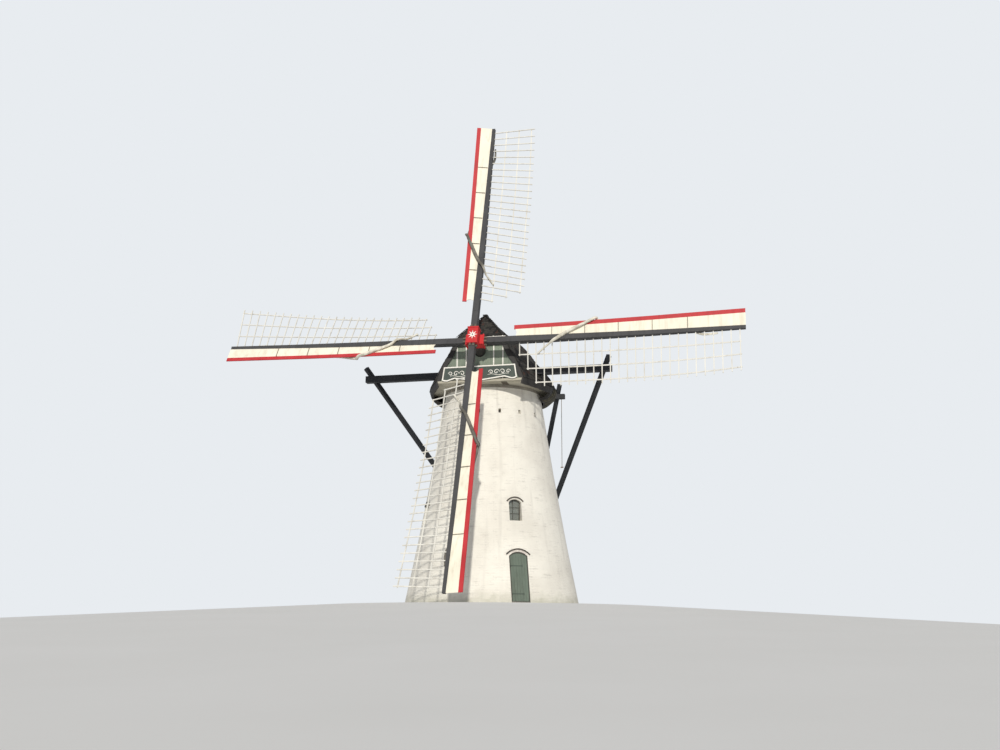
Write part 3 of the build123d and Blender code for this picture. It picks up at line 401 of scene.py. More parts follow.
def arch_bricks(half, spring, crown, depth, spin):
    """Bricks of one arch, turned about the tower."""
    rise = crown - spring
    radius = (half * half + rise * rise) / (2 * rise)
    middle = crown - radius
    reach = math.asin(half / radius)
    pitch = (ARCH_BRICK + ARCH_JOINT) / (radius + ARCH_HEIGHT / 2)
    count = max(1, round(2 * reach / pitch))
    bricks = []
    for number in range(count):
        first = -reach + (2 * reach) * number / count
        last = -reach + (2 * reach) * (number + 1) / count - ARCH_JOINT / radius
        corners = ((first, -ARCH_BELOW), (last, -ARCH_BELOW), (last, ARCH_HEIGHT), (first, ARCH_HEIGHT))
        points = []
        for inside in (1, 0):
            for angle, ring in corners:
                x = (radius + ring) * math.sin(angle)
                z = middle + (radius + ring) * math.cos(angle)
                back = (depth if ring < 0 else ARCH_INLET) if inside else -ARCH_PROUD
                points.append(spin @ Vector((x, back - math.sqrt(wall_radius(z) ** 2 - x * x), z)))
        bricks.append((points, tube_faces(2, 4)))
    return bricks


quarter_turns = [Matrix.Rotation(math.pi / 2 * side, 4, "Z") for side in range(4)]
arches = sum([arch_bricks(*DOOR_ARCH, spin) for spin in quarter_turns[::2]], [])
arches += sum([arch_bricks(*WINDOW_ARCH, spin) for spin in quarter_turns], [])
arch_limewash = limewash_finish("arch_limewash", soffit=True)
make_piece("arch_bricks", arches, arch_limewash, "tower")
dark_tile, tree, place = new_finish("dark_tile", 0.85)
lichen = mix(noise(place, 14.0, 5.0), (46, 42, 39), (92, 86, 78))
dress(complete(dark_tile, lichen, noise(place, 40.0), 0.006), "drip_arches")

# Floors and rings. Stone flags on the ground, pine boards above, a limewashed ring on top of
# the wall, and the cap's own ring, which slides on it and carries the cap's oak frame.
FLAG_SIZE = 0.45
FLAG_JOINT = 0.008


def flagstone_finish():
    """Grey flags with dark joints."""
    finish, tree, place = new_finish("floor_flags", 0.75)
    values = [("Vector", place), ("Scale", 1.0), ("Mortar Size", FLAG_JOINT)]
    values += [("Brick Width", FLAG_SIZE), ("Row Height", FLAG_SIZE)]
    values += [("Color1", (150, 146, 138)), ("Color2", (128, 125, 120)), ("Mortar", (70, 68, 64))]
    flags = add_node(tree, "ShaderNodeTexBrick", values).outputs
    stains = times(noise(place, 3.0, 4.0), 0.5)
    height = calculate("SUBTRACT", noise(place, 22.0), flags["Fac"])
    return complete(finish, mix(stains, flags["Color"], (96, 92, 84)), height, 0.006)


def start_group(name, takes, makes):
    """Shader group with its sockets, what it is given and what it makes."""
    group = bpy.data.node_groups.new(name, "ShaderNodeTree")
    for sockets, way in ((takes, "INPUT"), (makes, "OUTPUT")):
        for title, kind in sockets.items():
            group.interface.new_socket(title, in_out=way, socket_type=f"NodeSocket{kind}")
    return group, group.nodes.new("NodeGroupInput").outputs, group.nodes.new("NodeGroupOutput").inputs


def grain_group():
    """Grain of sawn wood along its X: a colour between two tones, and the height of the fibres."""
    takes = {"Place": "Vector", "Light": "Color", "Dark": "Color"}
    group, given, made = start_group("wood_grain", takes, {"Colour": "Color", "Height": "Float"})
    fibres = streaks(given["Place"], (1.2, 42, 42), 5.0, 0.65)
    rings = streaks(given["Place"], (0.35, 7, 7))
    share = calculate("MULTIPLY_ADD", fibres, 0.6, times(rings, 0.4))
    share = mask(share, 0.32, 0.68)
    give(made["Colour"], mix(share, given["Dark"], given["Light"]))
    give(made["Height"], share)
    return group


wood_grain = grain_group()


def bare_wood(name, light, dark, turn=0.0):
    """Bare sawn timber whose grain runs along X after a turn about Z."""
    finish, tree, place = new_finish(name, 0.75)
    values = (("Place", stretched(place, (1, 1, 1), (0, 0, turn))), ("Light", light), ("Dark", dark))
    grain = add_node(tree, "ShaderNodeGroup", node_tree=wood_grain, values=values)
    return complete(finish, grain.outputs["Colour"], grain.outputs["Height"], 0.003)


dress(flagstone_finish(), "ground_floor")
dress(bare_wood("floor_pine", (156, 128, 94), (112, 88, 62), math.pi / 2), "first_floor")
dress(limewash, "curb_ring")
dress(bare_wood("greased_oak", (176, 171, 159), (132, 126, 116)), "cap_ring")
dress(bare_wood("frame_oak", (112, 104, 92), (72, 66, 57), -CAP_TURN), "cap_frame")

# Doors. Ledged doors of six tongued boards, painted grey-green, which lean back with the
# wall in a dark painted frame and turn on forged straps and pins with spread ends.
DOOR_BOARDS = 6
DOOR_BOARD_GAP = 0.003
DOOR_CHAMFER = 0.005
DOOR_ARC_POINTS = 4
DOOR_LEAN = (0.193708, 0.981059)
STRAP_TIP_WIDTH = 0.032
STRAP_TIP_HEIGHT = 0.15
STRAP_TIP_DEPTH = 0.006
STRAP_TIP_CHAMFER = 0.002
STRAP_TIP_OUTLINE = ((0, -1), (1, -0.6), (0.8, 0), (1, 0.6), (0, 1), (-0.4, 0))
NAIL_SHARES = (0.12, 0.36, 0.6, 0.84)
NAIL_SIDES = 8
NAIL_RADIUS = 0.009
NAIL_FACES = (0.005, 0.011)
NAIL_CHAMFER = 0.003
CHAMFER_SPREAD = 1.4
FADED_GAIN = (1.12, 1.12, 1.12, 1)
FADED_CHALK = 0.012


def paint_group():
    """Weathered oil paint: brushed colour, thin spots that show the ground, dirt in runs."""
    takes = {"Place": "Vector", "Paint": "Color", "Ground": "Color", "Dirt colour": "Color"}
    takes |= {"Flaking": "Float", "Dirt": "Float"}
    makes = {"Colour": "Color", "Roughness": "Float", "Height": "Float"}
    group, given, made = start_group("weathered_paint", takes, makes)
    place = given["Place"]
    fading = noise(place, 0.9, 3.0)
    lighter = mix(1.0, given["Paint"], FADED_GAIN, "MULTIPLY")
    lighter = mix(FADED_CHALK, lighter, (255, 255, 255))
    colour = mix(mask(fading, 0.35, 0.75), given["Paint"], lighter)
    runs = mask(streaks(place, (5, 5, 0.7), 4.0, 0.6), 0.45, 0.75)
    colour = mix(times(runs, given["Dirt"]), colour, given["Dirt colour"])
    limit = calculate("SUBTRACT", 0.8, times(given["Flaking"], 0.3))
    bare = calculate("GREATER_THAN", noise(place, 11.0, 8.0, 0.7), limit)
    rough = calculate("MULTIPLY_ADD", fading, 0.25, 0.5)
    brushed = times(noise(place, 60.0, 3.0), 0.4)
    give(made["Colour"], mix(bare, colour, given["Ground"]))
    give(made["Roughness"], calculate("MAXIMUM", rough, times(bare, 0.85)))
    give(made["Height"], calculate("MULTIPLY_ADD", bare, -0.6, brushed))
    return group


weathered_paint = paint_group()


def painted(name, paint, ground, dirt_colour, flaking=0.3, dirt=0.3, depth=0.002):
    """Painted wood or iron, from the weathered paint."""
    finish, tree, place = new_finish(name)
    values = [("Place", place), ("Paint", paint), ("Ground", ground), ("Dirt colour", dirt_colour)]
    values += [("Flaking", flaking), ("Dirt", dirt)]
    coat = add_node(tree, "ShaderNodeGroup", node_tree=weathered_paint, values=values).outputs
    give(tree.nodes["Principled BSDF"].inputs["Roughness"], coat["Roughness"])
    return complete(finish, coat["Colour"], coat["Height"], depth)


BARE_WOOD = (140, 124, 104)
SOOT = (60, 58, 54)
door_paint = painted("door_paint", (96, 109, 97), BARE_WOOD, (78, 84, 74), 0.35, 0.5)
frame_paint = painted("frame_paint", (66, 66, 58), BARE_WOOD, SOOT, 0.3, 0.4)
forged_iron = painted("forged_iron", (48, 46, 44), (104, 64, 42), (70, 48, 36), 0.5, 0.5)
strap_paint = painted("strap_paint", (72, 84, 74), (96, 64, 46), (60, 66, 58), 0.3, 0.5)
door_up = Vector((0, DOOR_LEAN[0], DOOR_LEAN[1]))
door_out = Vector((0, -DOOR_LEAN[1], DOOR_LEAN[0]))


def prism(outline, low, high, chamfer, place):
    """Board with a flat outline, its front edges taken off, put in place by a function."""
    centre = sum((Vector(point) for point in outline), Vector((0, 0))) / len(outline)
    count = len(outline)
    rings = []
    for level, inset in ((low, 0), (high - chamfer, 0), (high, chamfer)):
        for number, point in enumerate(outline):
            here = Vector(point)
            first = (here - Vector(outline[number - 1])).normalized()
            second = (Vector(outline[(number + 1) % count]) - here).normalized()
            inward = Vector((-first.y - second.y, first.x + second.x))
            if inward.length < 1e-9:
                inward = centre - here
            inward.normalize()
            if inward.dot(centre - here) < 0:
                inward.negate()
            shift = inward * inset * CHAMFER_SPREAD
            rings.append(place(here.x + shift.x, here.y + shift.y, level))
    return rings, tube_faces(3, count)


def door_pieces(name, spin):
    """Boards, strap ends and nails of one door, fitted to its CAD leaf and straps."""

    def on_door(across, up, out):
        """Point on the door from its distance across, up the slope and out."""
        return spin @ (Vector((across, 0, 0)) + door_up * up + door_out * out)

    corners = [spin.inverted() @ vertex.co for vertex in nodes[name].data.vertices]
    half = max(corner.x for corner in corners)
    ups = [corner.dot(door_up) for corner in corners]
    outs = [corner.dot(door_out) for corner in corners]
    crown = max(ups)
    rise = crown - max(up for up, corner in zip(ups, corners) if abs(corner.x) > half - 0.001)
    arc = (half**2 + rise**2) / (2 * rise)
    boards = []
    for number in range(DOOR_BOARDS):
        left = -half + 2 * half * number / DOOR_BOARDS + DOOR_BOARD_GAP / 2
        right = -half + 2 * half * (number + 1) / DOOR_BOARDS - DOOR_BOARD_GAP / 2
        outline = [(left, min(ups)), (right, min(ups))]
        for step in range(DOOR_ARC_POINTS):
            across = right + (left - right) * step / (DOOR_ARC_POINTS - 1)
            outline.append((across, crown - arc + math.sqrt(arc**2 - across**2)))
        boards.append(prism(outline, min(outs), max(outs), DOOR_CHAMFER, on_door))
    leaf = make_piece(f"{name}_boards", boards, door_paint, name)
    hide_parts(name)

    tips = []
    face = max(outs)
    corners = [spin.inverted() @ vertex.co for vertex in nodes[f"{name}_straps"].data.vertices]
    end = max(corner.x for corner in corners)
    levels = sorted(corner.dot(door_up) for corner in corners if corner.x > end - 0.01)
    for strap in (levels[: len(levels) // 2], levels[len(levels) // 2 :]):
        middle = (strap[0] + strap[-1]) / 2
        outline = [(end + STRAP_TIP_WIDTH * x, middle + STRAP_TIP_HEIGHT / 2 * y) for x, y in STRAP_TIP_OUTLINE]
        tips.append(prism(outline, face, face + STRAP_TIP_DEPTH, STRAP_TIP_CHAMFER, on_door))
        for share in NAIL_SHARES:
            nail = circle(NAIL_RADIUS, NAIL_SIDES, -half + (end + half) * share, middle)
            tips.append(prism(nail, *[face + rise for rise in NAIL_FACES], NAIL_CHAMFER, on_door))
    make_piece(name.replace("door", "strap_tips"), tips, strap_paint, name)


door_pieces("front_door", quarter_turns[0])
door_pieces("rear_door", quarter_turns[2])
dress(frame_paint, "door_frames", "window_frames")
dress(strap_paint, "front_door_straps", "rear_door_straps")
dress(forged_iron, "door_pintles")

# Windows. Small fixed lights under brick arches, with one upright bar left of the middle
# and two cross bars, putty-glazed with old glass.
WINDOW_HALF = 0.26
WINDOW_FOOT = 3.97
WINDOW_BAR_PLACE = -0.058
WINDOW_CROSS_BARS = (4.27, 4.555)
WINDOW_BAR_HALF = 0.013
WINDOW_BAR_DEPTH = 0.02
WINDOW_BAR_CLEARANCE = 0.004
CROSS_BAR_SUNK = 0.001
PANE_THICKNESS = 0.008
ACROSS = Vector((1, 0, 0))


def window_glass():
    """Old clear glass with dusty panes."""
    finish, tree, place = new_finish("old_glass", 0.08)
    shader = tree.nodes["Principled BSDF"].inputs
    shader["Transmission Weight"].default_value = 0.7
    shader["IOR"].default_value = 1.5
    dust = noise(place, 5.0, 4.0)
    give(shader["Roughness"], mask(dust, 0.3, 1.4))
    colour = mix(dust, (212, 218, 212), (170, 176, 168))
    return complete(finish, colour, noise(place, 7.0), 0.004)


def plank(place, stations):
    """Bar with four sides. Each station has its spot, a way across and a way out, half its
    width, and how far out its two faces are."""
    first, last = stations[0], stations[-1]
    if first[1].cross(first[2]).dot(last[0] - first[0]) < 0:
        stations = stations[::-1]
    points = []
    for spot, across, out, half, inner, outer in stations:
        for edge, lift in ((-half, inner), (half, inner), (half, outer), (-half, outer)):
            points.append(place @ (spot + across * edge + out * lift))
    return points, tube_faces(len(stations), 4)


dress(window_glass(), "window_panes")
glass_low, glass_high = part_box("window_panes")
glass_back = glass_low.y + PANE_THICKNESS
bars = []
upright = (ACROSS, UP, WINDOW_BAR_HALF, WINDOW_FOOT, glass_high.z - WINDOW_BAR_CLEARANCE)
cross_bar = (ACROSS, UP, WINDOW_HALF, -WINDOW_BAR_HALF, WINDOW_BAR_HALF)
for spin in quarter_turns:
    for near in (glass_low.y - WINDOW_BAR_DEPTH, glass_back):
        far = near + WINDOW_BAR_DEPTH
        bars.append(plank(spin, [(Vector((WINDOW_BAR_PLACE, y, 0)), *upright) for y in (near, far)]))
        for level in WINDOW_CROSS_BARS:
            ends = (near + CROSS_BAR_SUNK, far - CROSS_BAR_SUNK)
            stations = [(Vector((0, y, level)), *cross_bar) for y in ends]
            bars.append(plank(spin, stations))
make_piece("window_bars", bars, frame_paint, "tower")

# Roof. Split oak shingles in courses, each lapped over the two below, black with age and tar,
# with moss and a few newer red-brown ones. They are nailed to boarding whose peak is drawn in
# over the shaft, and boards cover the hips and the ridge.
SHINGLE_WIDTH = 0.125
SHINGLE_LENGTHS = (0.34, 0.25, 0.155, 0.09)
SHINGLE_WIDTH_SHARES = (0.86, 1.08)
SHINGLE_COURSE = 0.155
FLANK_PITCH = SHINGLE_WIDTH * 0.97
SHINGLE_JOG = 0.008
SHINGLE_BUTT = (0.02, 0.033)
SHINGLE_HEAD = (0.002, 0.005)
SHINGLE_GAP = 0.004
ROOF_FOOT = 10.79
ROOF_PEAK = 14.36
GABLE_PLANE = -2.95
PEAK_FOOT = 13.0
PEAK_TOP = 14.4
PEAK_CUTS = 14
PEAK_PLANE = -1.8
PEAK_FALL = 0.1
PEAK_NARROWING = 0.4
CLEAR_WAY = Vector((math.sin(math.radians(35)), math.cos(math.radians(35)), 0))
SLOPE_WAY = Vector((0.5736, 0.8192, 0))
BACK = Vector((0, 1, 0))
OUTSIDE_CAP = 8
BELOW_CAP = 8
ABOVE_CAP = 16
HIP_FACES_FRONT = -0.6
HIP_FACES_UP = 0.3
cap_from_part = cap_to_part.inverted()


def roof_skin(name):
    """Half of the roof drawn in to a peak over the shaft, with a ridge that falls behind it."""
    shell = bmesh.new()
    shell.from_mesh(nodes[name].data)
    for step in range(PEAK_CUTS):
        level = PEAK_FOOT + (PEAK_TOP - PEAK_FOOT) * step / PEAK_CUTS
        everything = shell.verts[:] + shell.edges[:] + shell.faces[:]
        bmesh.ops.bisect_plane(shell, geom=everything, plane_co=(0, 0, level), plane_no=(0, 0, 1))
    for vertex in shell.verts:
        spot = cap_from_part @ vertex.co
        share = max(0, spot.z - PEAK_FOOT) / (PEAK_TOP - PEAK_FOOT)
        narrow = 1 - PEAK_NARROWING * share
        spot.x *= narrow
        spot.z -= PEAK_FALL * max(0, spot.y - PEAK_PLANE) * share
        if spot.y > 0:
            spot.y *= narrow
        vertex.co = cap_to_part @ spot
    bmesh.ops.triangulate(shell, faces=shell.faces[:])
    shell.verts.index_update()
    points = [vertex.co.copy() for vertex in shell.verts]
    faces = [[corner.index for corner in face.verts] for face in shell.faces]
    shell.free()
    skin = make_piece(f"{name}_boarding", [(points, faces)], roof_boarding, "cap")
    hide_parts(name)
    return skin


roof_boarding = painted("roof_boarding", (40, 38, 36), (70, 62, 54), SOOT, 0.3, 0.4)
roof_halves = (roof_skin("roof_right"), roof_skin("roof_left"))


def roof_hits(start, aim):
    """Where a line in the cap's frame meets the roof: how far off, the spot and its normal."""
    turn = cap_to_part.to_3x3()
    start = cap_to_part @ start
    found = [half.ray_cast(start, turn @ aim) for half in roof_halves]
    turn_back = cap_from_part.to_3x3()
    return [((hit[1] - start).length, cap_from_part @ hit[1], turn_back @ hit[2]) for hit in found if hit[0]]


def roof_point(base_y, way, level):
    """Outer face of the roof at a level, seen along a level way, with its normal."""
    centre = Vector((0, base_y, level))
    hits = roof_hits(centre + way * OUTSIDE_CAP, -way)
    if not hits:
        return None
    _, spot, normal = min(hits, key=lambda hit: hit[0])
    return (spot, normal) if (spot - centre).dot(way) >= 0 else None


def full_reach(level):
    """Reach of the round back of the roof at a level, clear of the beams."""
    found = roof_point(0, CLEAR_WAY, level)
    return found[0].to_2d().length if found else 0


def stands_whole(base_y, way, level, reach):
    """Whether the roof's outer face is there, with no slot for a beam."""
    found = roof_point(base_y, way, level)
    return found and (found[0] - Vector((0, base_y, level))).dot(way) > 0.5 * reach


shingles = []
shingle_tones = []


def lay_shingle(spot, normal, width, length, tone, head=None):
    """One shingle with its butt on a spot of the roof, laid towards its head where that is given."""
    up = (head - spot).normalized() if head else (UP - normal * normal.z).normalized()
    side = normal.cross(up).normalized()
    out = up.cross(side)
    half = width / 2 - SHINGLE_GAP / 2
    stations = [(spot, side, out, half, *SHINGLE_BUTT), (spot + up * length, side, out, half, *SHINGLE_HEAD)]
    shingles.append(plank(cap_to_part, stations))
    shingle_tones.extend([tone] * 6)


def add_tones(piece, tones):
    """Keeps one tone for each face, which the finish reads."""
    layer = piece.data.attributes.new("tone", "FLOAT", "FACE")
    layer.data.foreach_set("value", tones)


def tone_of(tree):
    """Tone of a face, in a finish."""
    return add_node(tree, "ShaderNodeAttribute", attribute_name="tone").outputs["Fac"]


def shingle_finish():
    """Tarred oak shingle, each with its own tone."""
    finish, tree, place = new_finish("oak_shingle", 0.8)
    tone = tone_of(tree)
    colour = mix(mask(tone, 0.0, 0.75), (27, 27, 27), (68, 65, 60))
    colour = mix(mask(tone, 0.93, 0.95), colour, (76, 50, 41))
    colour = mix(mask(tone, 0.975, 0.98), colour, (74, 78, 64))
    moss = mask(noise(place, 2.1, 5.0, 0.65), 0.58, 0.72)
    colour = mix(times(moss, 0.6), colour, (74, 82, 58))
    fibres = streaks(place, (55, 55, 6), 4.0)
    colour = mix(times(fibres, 0.35), colour, (20, 19, 18))
    return complete(finish, colour, fibres, 0.004)


def half_turn_ways(count, shift):
    """Level ways round the back of the cap, evenly spread from one side to the other."""
    angles = [math.pi * (number + shift) / count for number in range(count + 1)]
    return [Vector((math.cos(angle), math.sin(angle), 0)) for angle in angles if angle <= math.pi]


def course_spots(reach, odd):
    """Start and way of each shingle in a course, round the back and then along the flanks."""
    turns = max(6, int(math.pi * reach / SHINGLE_WIDTH))
    spots = [(0, way) for way in half_turn_ways(turns, 0.5 * odd)] if reach > 0.05 else []
    base_y = -SHINGLE_WIDTH * (1 - 0.5 * odd)
    while base_y > GABLE_PLANE:
        spots += [(base_y, ACROSS), (base_y, -ACROSS)]
        base_y -= FLANK_PITCH
    return spots


dice = random.Random(7)
level = ROOF_FOOT
odd = 0
while level < ROOF_PEAK:
    reach = full_reach(level)
    slope = roof_point(0, SLOPE_WAY, level) or roof_point(PEAK_PLANE, ACROSS, level)
    if slope is None:
        break
    for base_y, way in course_spots(reach, odd):
        found = roof_point(base_y, way, level)
        if not found or found[1].y < HIP_FACES_FRONT or not stands_whole(base_y, way, level, reach):
            continue
        spot, normal = found
        climb = normal.to_2d().length
        for length in SHINGLE_LENGTHS:
            head_level = level + length * climb
            if stands_whole(base_y, way, head_level, full_reach(head_level)):
                break
        else:
            continue
        beside = -way.x * SHINGLE_WIDTH * 0.4
        if base_y == 0 and abs(way.x) > 0.7 and not stands_whole(beside, way, level, reach * 0.9):
            continue
        width = SHINGLE_WIDTH * dice.uniform(*SHINGLE_WIDTH_SHARES)
        jog = UP * dice.uniform(-SHINGLE_JOG, SHINGLE_JOG)
        head = roof_point(base_y, way, head_level)[0]
        lay_shingle(spot + jog, normal, width, length, dice.random(), head)
    level += SHINGLE_COURSE * slope[1].to_2d().length
    odd = 1 - odd

HIP_FOOT = 12.97
HIP_COURSE = SHINGLE_COURSE * 0.77
HIP_STEPS = 11
HIP_EDGE_STEPS = 120
HIP_EDGE_PITCH = 0.015
HIP_SHINGLE_OVERHANG = 0.035
HIP_CLIMB = 0.7
HIP_BOARD_HALF = 0.065
HIP_BOARD_THICKNESS = 0.022
HIP_BOARD_OUT = (0.6, -0.45, 0.66)
HIP_BOARD_LAPS = (0.04, 0.01)
HIP_BOARD_LIFTS = (0.045, 0.022)
RIDGE_STEPS = 8
RIDGE_START = 0.03
RIDGE_LAP = 0.04
RIDGE_LIFTS = (0.044, 0.069)
BESIDE_RIDGE = 0.006
PEAK_BLOCK_PLACE = (-0.02, -0.1)
PEAK_BLOCKS = ((0.09, 0.13, 0, 0.08), (0.12, 0.16, 0.08, 0.1))
RIDGE_LENGTH = 2.3
RIDGE_BOARD_WIDTH = 0.11
RIDGE_BOARD_FALL = 0.054


def hip_point(across, level):
    """Spot and normal on the sloping front of the roof, seen from in front, if it is there."""
    for _, spot, normal in roof_hits(Vector((across, -OUTSIDE_CAP, level)), BACK):
        if normal.y <= HIP_FACES_FRONT and normal.z >= HIP_FACES_UP:
            return spot, normal
    return None


def hip_edge(level, side):
    """Where the sloping front of the roof ends at a level, on one side of its middle."""
    found = [hip_point(side * (0.01 + HIP_EDGE_PITCH * step), level) for step in range(HIP_EDGE_STEPS)]
    found = [point[0] for point in found if point]
    return found[-1] if found else None


def hip_half(level):
    """Half the width of the sloping front of the roof at a level."""
    found = hip_edge(level, 1)
    return found.x if found else 0


level = HIP_FOOT
while level < ROOF_PEAK:
    steps = int(2 * full_reach(level) / SHINGLE_WIDTH) + 2
    heads = {size: hip_half(level + size * HIP_CLIMB) for size in SHINGLE_LENGTHS}
    for number in range(-steps, steps + 1):
        across = (number + 0.5 * odd) * SHINGLE_WIDTH
        found = hip_point(across, level)
        if found:
            width = SHINGLE_WIDTH * dice.uniform(*SHINGLE_WIDTH_SHARES)
            outer = abs(across) + width / 2 - HIP_SHINGLE_OVERHANG
            length = max([size for size in SHINGLE_LENGTHS if outer < heads[size]], default=0)
            if length:
                lay_shingle(*found, width, length, dice.random())
    level += HIP_COURSE
    odd = 1 - odd

roof_boards = []
for side in (-1, 1):
    levels = [HIP_FOOT + (ROOF_PEAK - 0.01 - HIP_FOOT) * step / HIP_STEPS for step in range(HIP_STEPS + 1)]
    edge = [spot for spot in [hip_edge(level, side) for level in levels] if spot]
    for low, high in zip(edge, edge[1:]):
        way = (high - low).normalized()
        out = Vector((side * HIP_BOARD_OUT[0], *HIP_BOARD_OUT[1:]))
        out = (out - way * out.dot(way)).normalized()
        stations = []
        ends = (low - way * HIP_BOARD_LAPS[0], high + way * HIP_BOARD_LAPS[1])
        for spot, lift in zip(ends, HIP_BOARD_LIFTS):
            stations.append((spot, way.cross(out), out, HIP_BOARD_HALF, lift, lift + HIP_BOARD_THICKNESS))
        roof_boards.append(plank(cap_to_part, stations))
ridge = []
for step in range(RIDGE_STEPS + 1):
    place_y = PEAK_PLANE + RIDGE_START + RIDGE_LENGTH * step / RIDGE_STEPS
    top = max(spot.z for _, spot, _ in roof_hits(Vector((BESIDE_RIDGE, place_y, ABOVE_CAP)), -UP))
    ridge.append(Vector((0, place_y, top)))
for front, rear in zip(ridge, ridge[1:]):
    for side in (-1, 1):
        slant = Vector((side * RIDGE_BOARD_WIDTH, 0, -RIDGE_BOARD_FALL))
        stations = []
        for spot, lift in zip((rear + BACK * RIDGE_LAP, front), RIDGE_LIFTS):
            stations.append((spot + UP * lift + slant / 2, slant, UP, 0.5, 0, HIP_BOARD_THICKNESS))
        roof_boards.append(plank(cap_to_part, stations))
peak_spot = Vector((0, PEAK_PLANE + PEAK_BLOCK_PLACE[0], PEAK_TOP + PEAK_BLOCK_PLACE[1]))
for half_wide, half_deep, low, high in PEAK_BLOCKS:
    size = (ACROSS, BACK, half_wide, -half_deep, half_deep)
    roof_boards.append(plank(cap_to_part, [(peak_spot + UP * rise, *size) for rise in (low, high)]))
make_piece("hip_boards", roof_boards, roof_boarding, "cap")
roof_shingles = make_piece("roof_shingles", shingles, shingle_finish(), "cap")
add_tones(roof_shingles, shingle_tones)

# Lip of the eaves. Narrow boards bent under the overhang, which close the cap round the
# top of the wall; tarred, with brown wood showing where the tar has worn.
STAVE_WIDTH = 0.115
STAVE_GAP = 0.006
STAVE_LEVELS = (10.2, 10.27, 10.36, 10.48, 10.62, 10.76)
STAVE_FACES = (0.001, 0.014)
LIP_REACH = 3.25
LIP_INNER_REACH = 2
LIP_FRONT = -0.37


def lip_finish():
    """Worn tarred board with its own tone."""
    finish, tree, place = new_finish("lip_board", 0.75)
    colour = mix(mask(tone_of(tree), 0.2, 1.0), (54, 51, 39), (112, 106, 80))
    wear = streaks(place, (9, 9, 3), 5.0, 0.65)
    return complete(finish, mix(mask(wear, 0.42, 0.7), colour, (34, 32, 30)), wear, 0.004)


stave_ways = [(0, way) for way in half_turn_ways(int(math.pi * LIP_REACH / STAVE_WIDTH), 0.5)]
place_y = -STAVE_WIDTH / 2
while place_y > LIP_FRONT:
    stave_ways += [(place_y, ACROSS), (place_y, -ACROSS)]
    place_y -= STAVE_WIDTH
staves = []
stave_tones = []
for base_y, way in stave_ways:
    found = [roof_point(base_y, way, level) for level in STAVE_LEVELS]
    if any(not spot or (spot[0] - BACK * base_y).dot(way) < LIP_INNER_REACH for spot in found):
        continue
    side = way.cross(UP)
    stations = []
    for spot, normal in found:
        narrow = spot.to_2d().length / LIP_REACH if base_y == 0 else 1
        stations.append((spot, side, normal, (STAVE_WIDTH * narrow - STAVE_GAP) / 2, *STAVE_FACES))
    staves.append(plank(cap_to_part, stations))
    stave_tones += [dice.random()] * len(staves[-1][1])
lip = make_piece("lip_staves", staves, lip_finish(), "cap")
add_tones(lip, stave_tones)
dress(bare_wood("eaves_wood", (204, 200, 184), (150, 144, 126), -CAP_TURN), "eaves_boards")

# Front of the cap. Upright boards painted green close the gable round the neck of the
# shaft, with white battens over their joints and a white rail with small balls.
GABLE_FACE = -2.9
GABLE_BOARD_WIDTH = 0.13
GABLE_BOARD_DEPTH = 0.012
GABLE_BOARD_GAP = 0.004
GABLE_CLEARANCE = 0.003
GABLE_INSIDE = 0.02
GABLE_CHAMFER = 0.003
GABLE_HALF = 2.2
NECK_HOLE = 0.3
NECK_LEVEL = 12.231
CLEAR_OF_FACE = 0.0005


def gable_limits(across):
    """Foot and head of the CAD gable at a distance from its middle."""
    found = []
    for start_level, way in ((BELOW_CAP, 1), (ABOVE_CAP, -1)):
        start = cap_to_part @ Vector((across, GABLE_FACE + GABLE_INSIDE, start_level))
        hit, spot, _, _ = nodes["gable"].ray_cast(start, UP * way)
        if not hit:
            return None
        found.append(spot.z + way * GABLE_CLEARANCE)
    return found


def in_front_of(face):
    """Function that gives a point in front of an upright face of the cap."""
    return lambda across, level, out: cap_to_part @ Vector((across, face - out, level))


on_gable = in_front_of(GABLE_FACE)
gable_parts = []
for number in range(int(2 * GABLE_HALF / GABLE_BOARD_WIDTH)):
    left = -GABLE_HALF + number * GABLE_BOARD_WIDTH + GABLE_BOARD_GAP / 2
    right = left + GABLE_BOARD_WIDTH - GABLE_BOARD_GAP
    limits = [gable_limits(across) for across in (left, right)]
    if None in limits:
        continue
    foot = [max(limits[0][0], limits[1][0])] * 2
    head = [limits[0][1], limits[1][1]]
    boards = [(foot, head)]
    if abs((left + right) / 2) < NECK_HOLE:
        ends = [math.sqrt(max(0, NECK_HOLE**2 - across**2)) for across in (left, right)]
        boards = [(foot, [NECK_LEVEL - end for end in ends]), ([NECK_LEVEL + end for end in ends], head)]
    for low, high in boards:
        outline = [(left, low[0]), (right, low[1]), (right, high[1]), (left, high[0])]
        gable_parts.append(prism(outline, CLEAR_OF_FACE, GABLE_BOARD_DEPTH, GABLE_CHAMFER, on_gable))
gable_green = painted("gable_green", (130, 142, 126), BARE_WOOD, (82, 98, 90), 0.25, 0.5)
make_piece("gable_planks", gable_parts, gable_green, "cap")
dress(gable_green, "gable")
trim_white = painted("trim_white", (248, 246, 238), (186, 178, 160), (180, 176, 164), 0.2, 0.3)
dress(trim_white, "gable_battens")
# The verge boards are painted near black: their own dark paint together with painted shade under the roof's
# edge.
dress(painted("verge_dark_paint_and_shade", (44, 43, 42), (84, 74, 62), SOOT, 0.3, 0.4), "verge_boards")

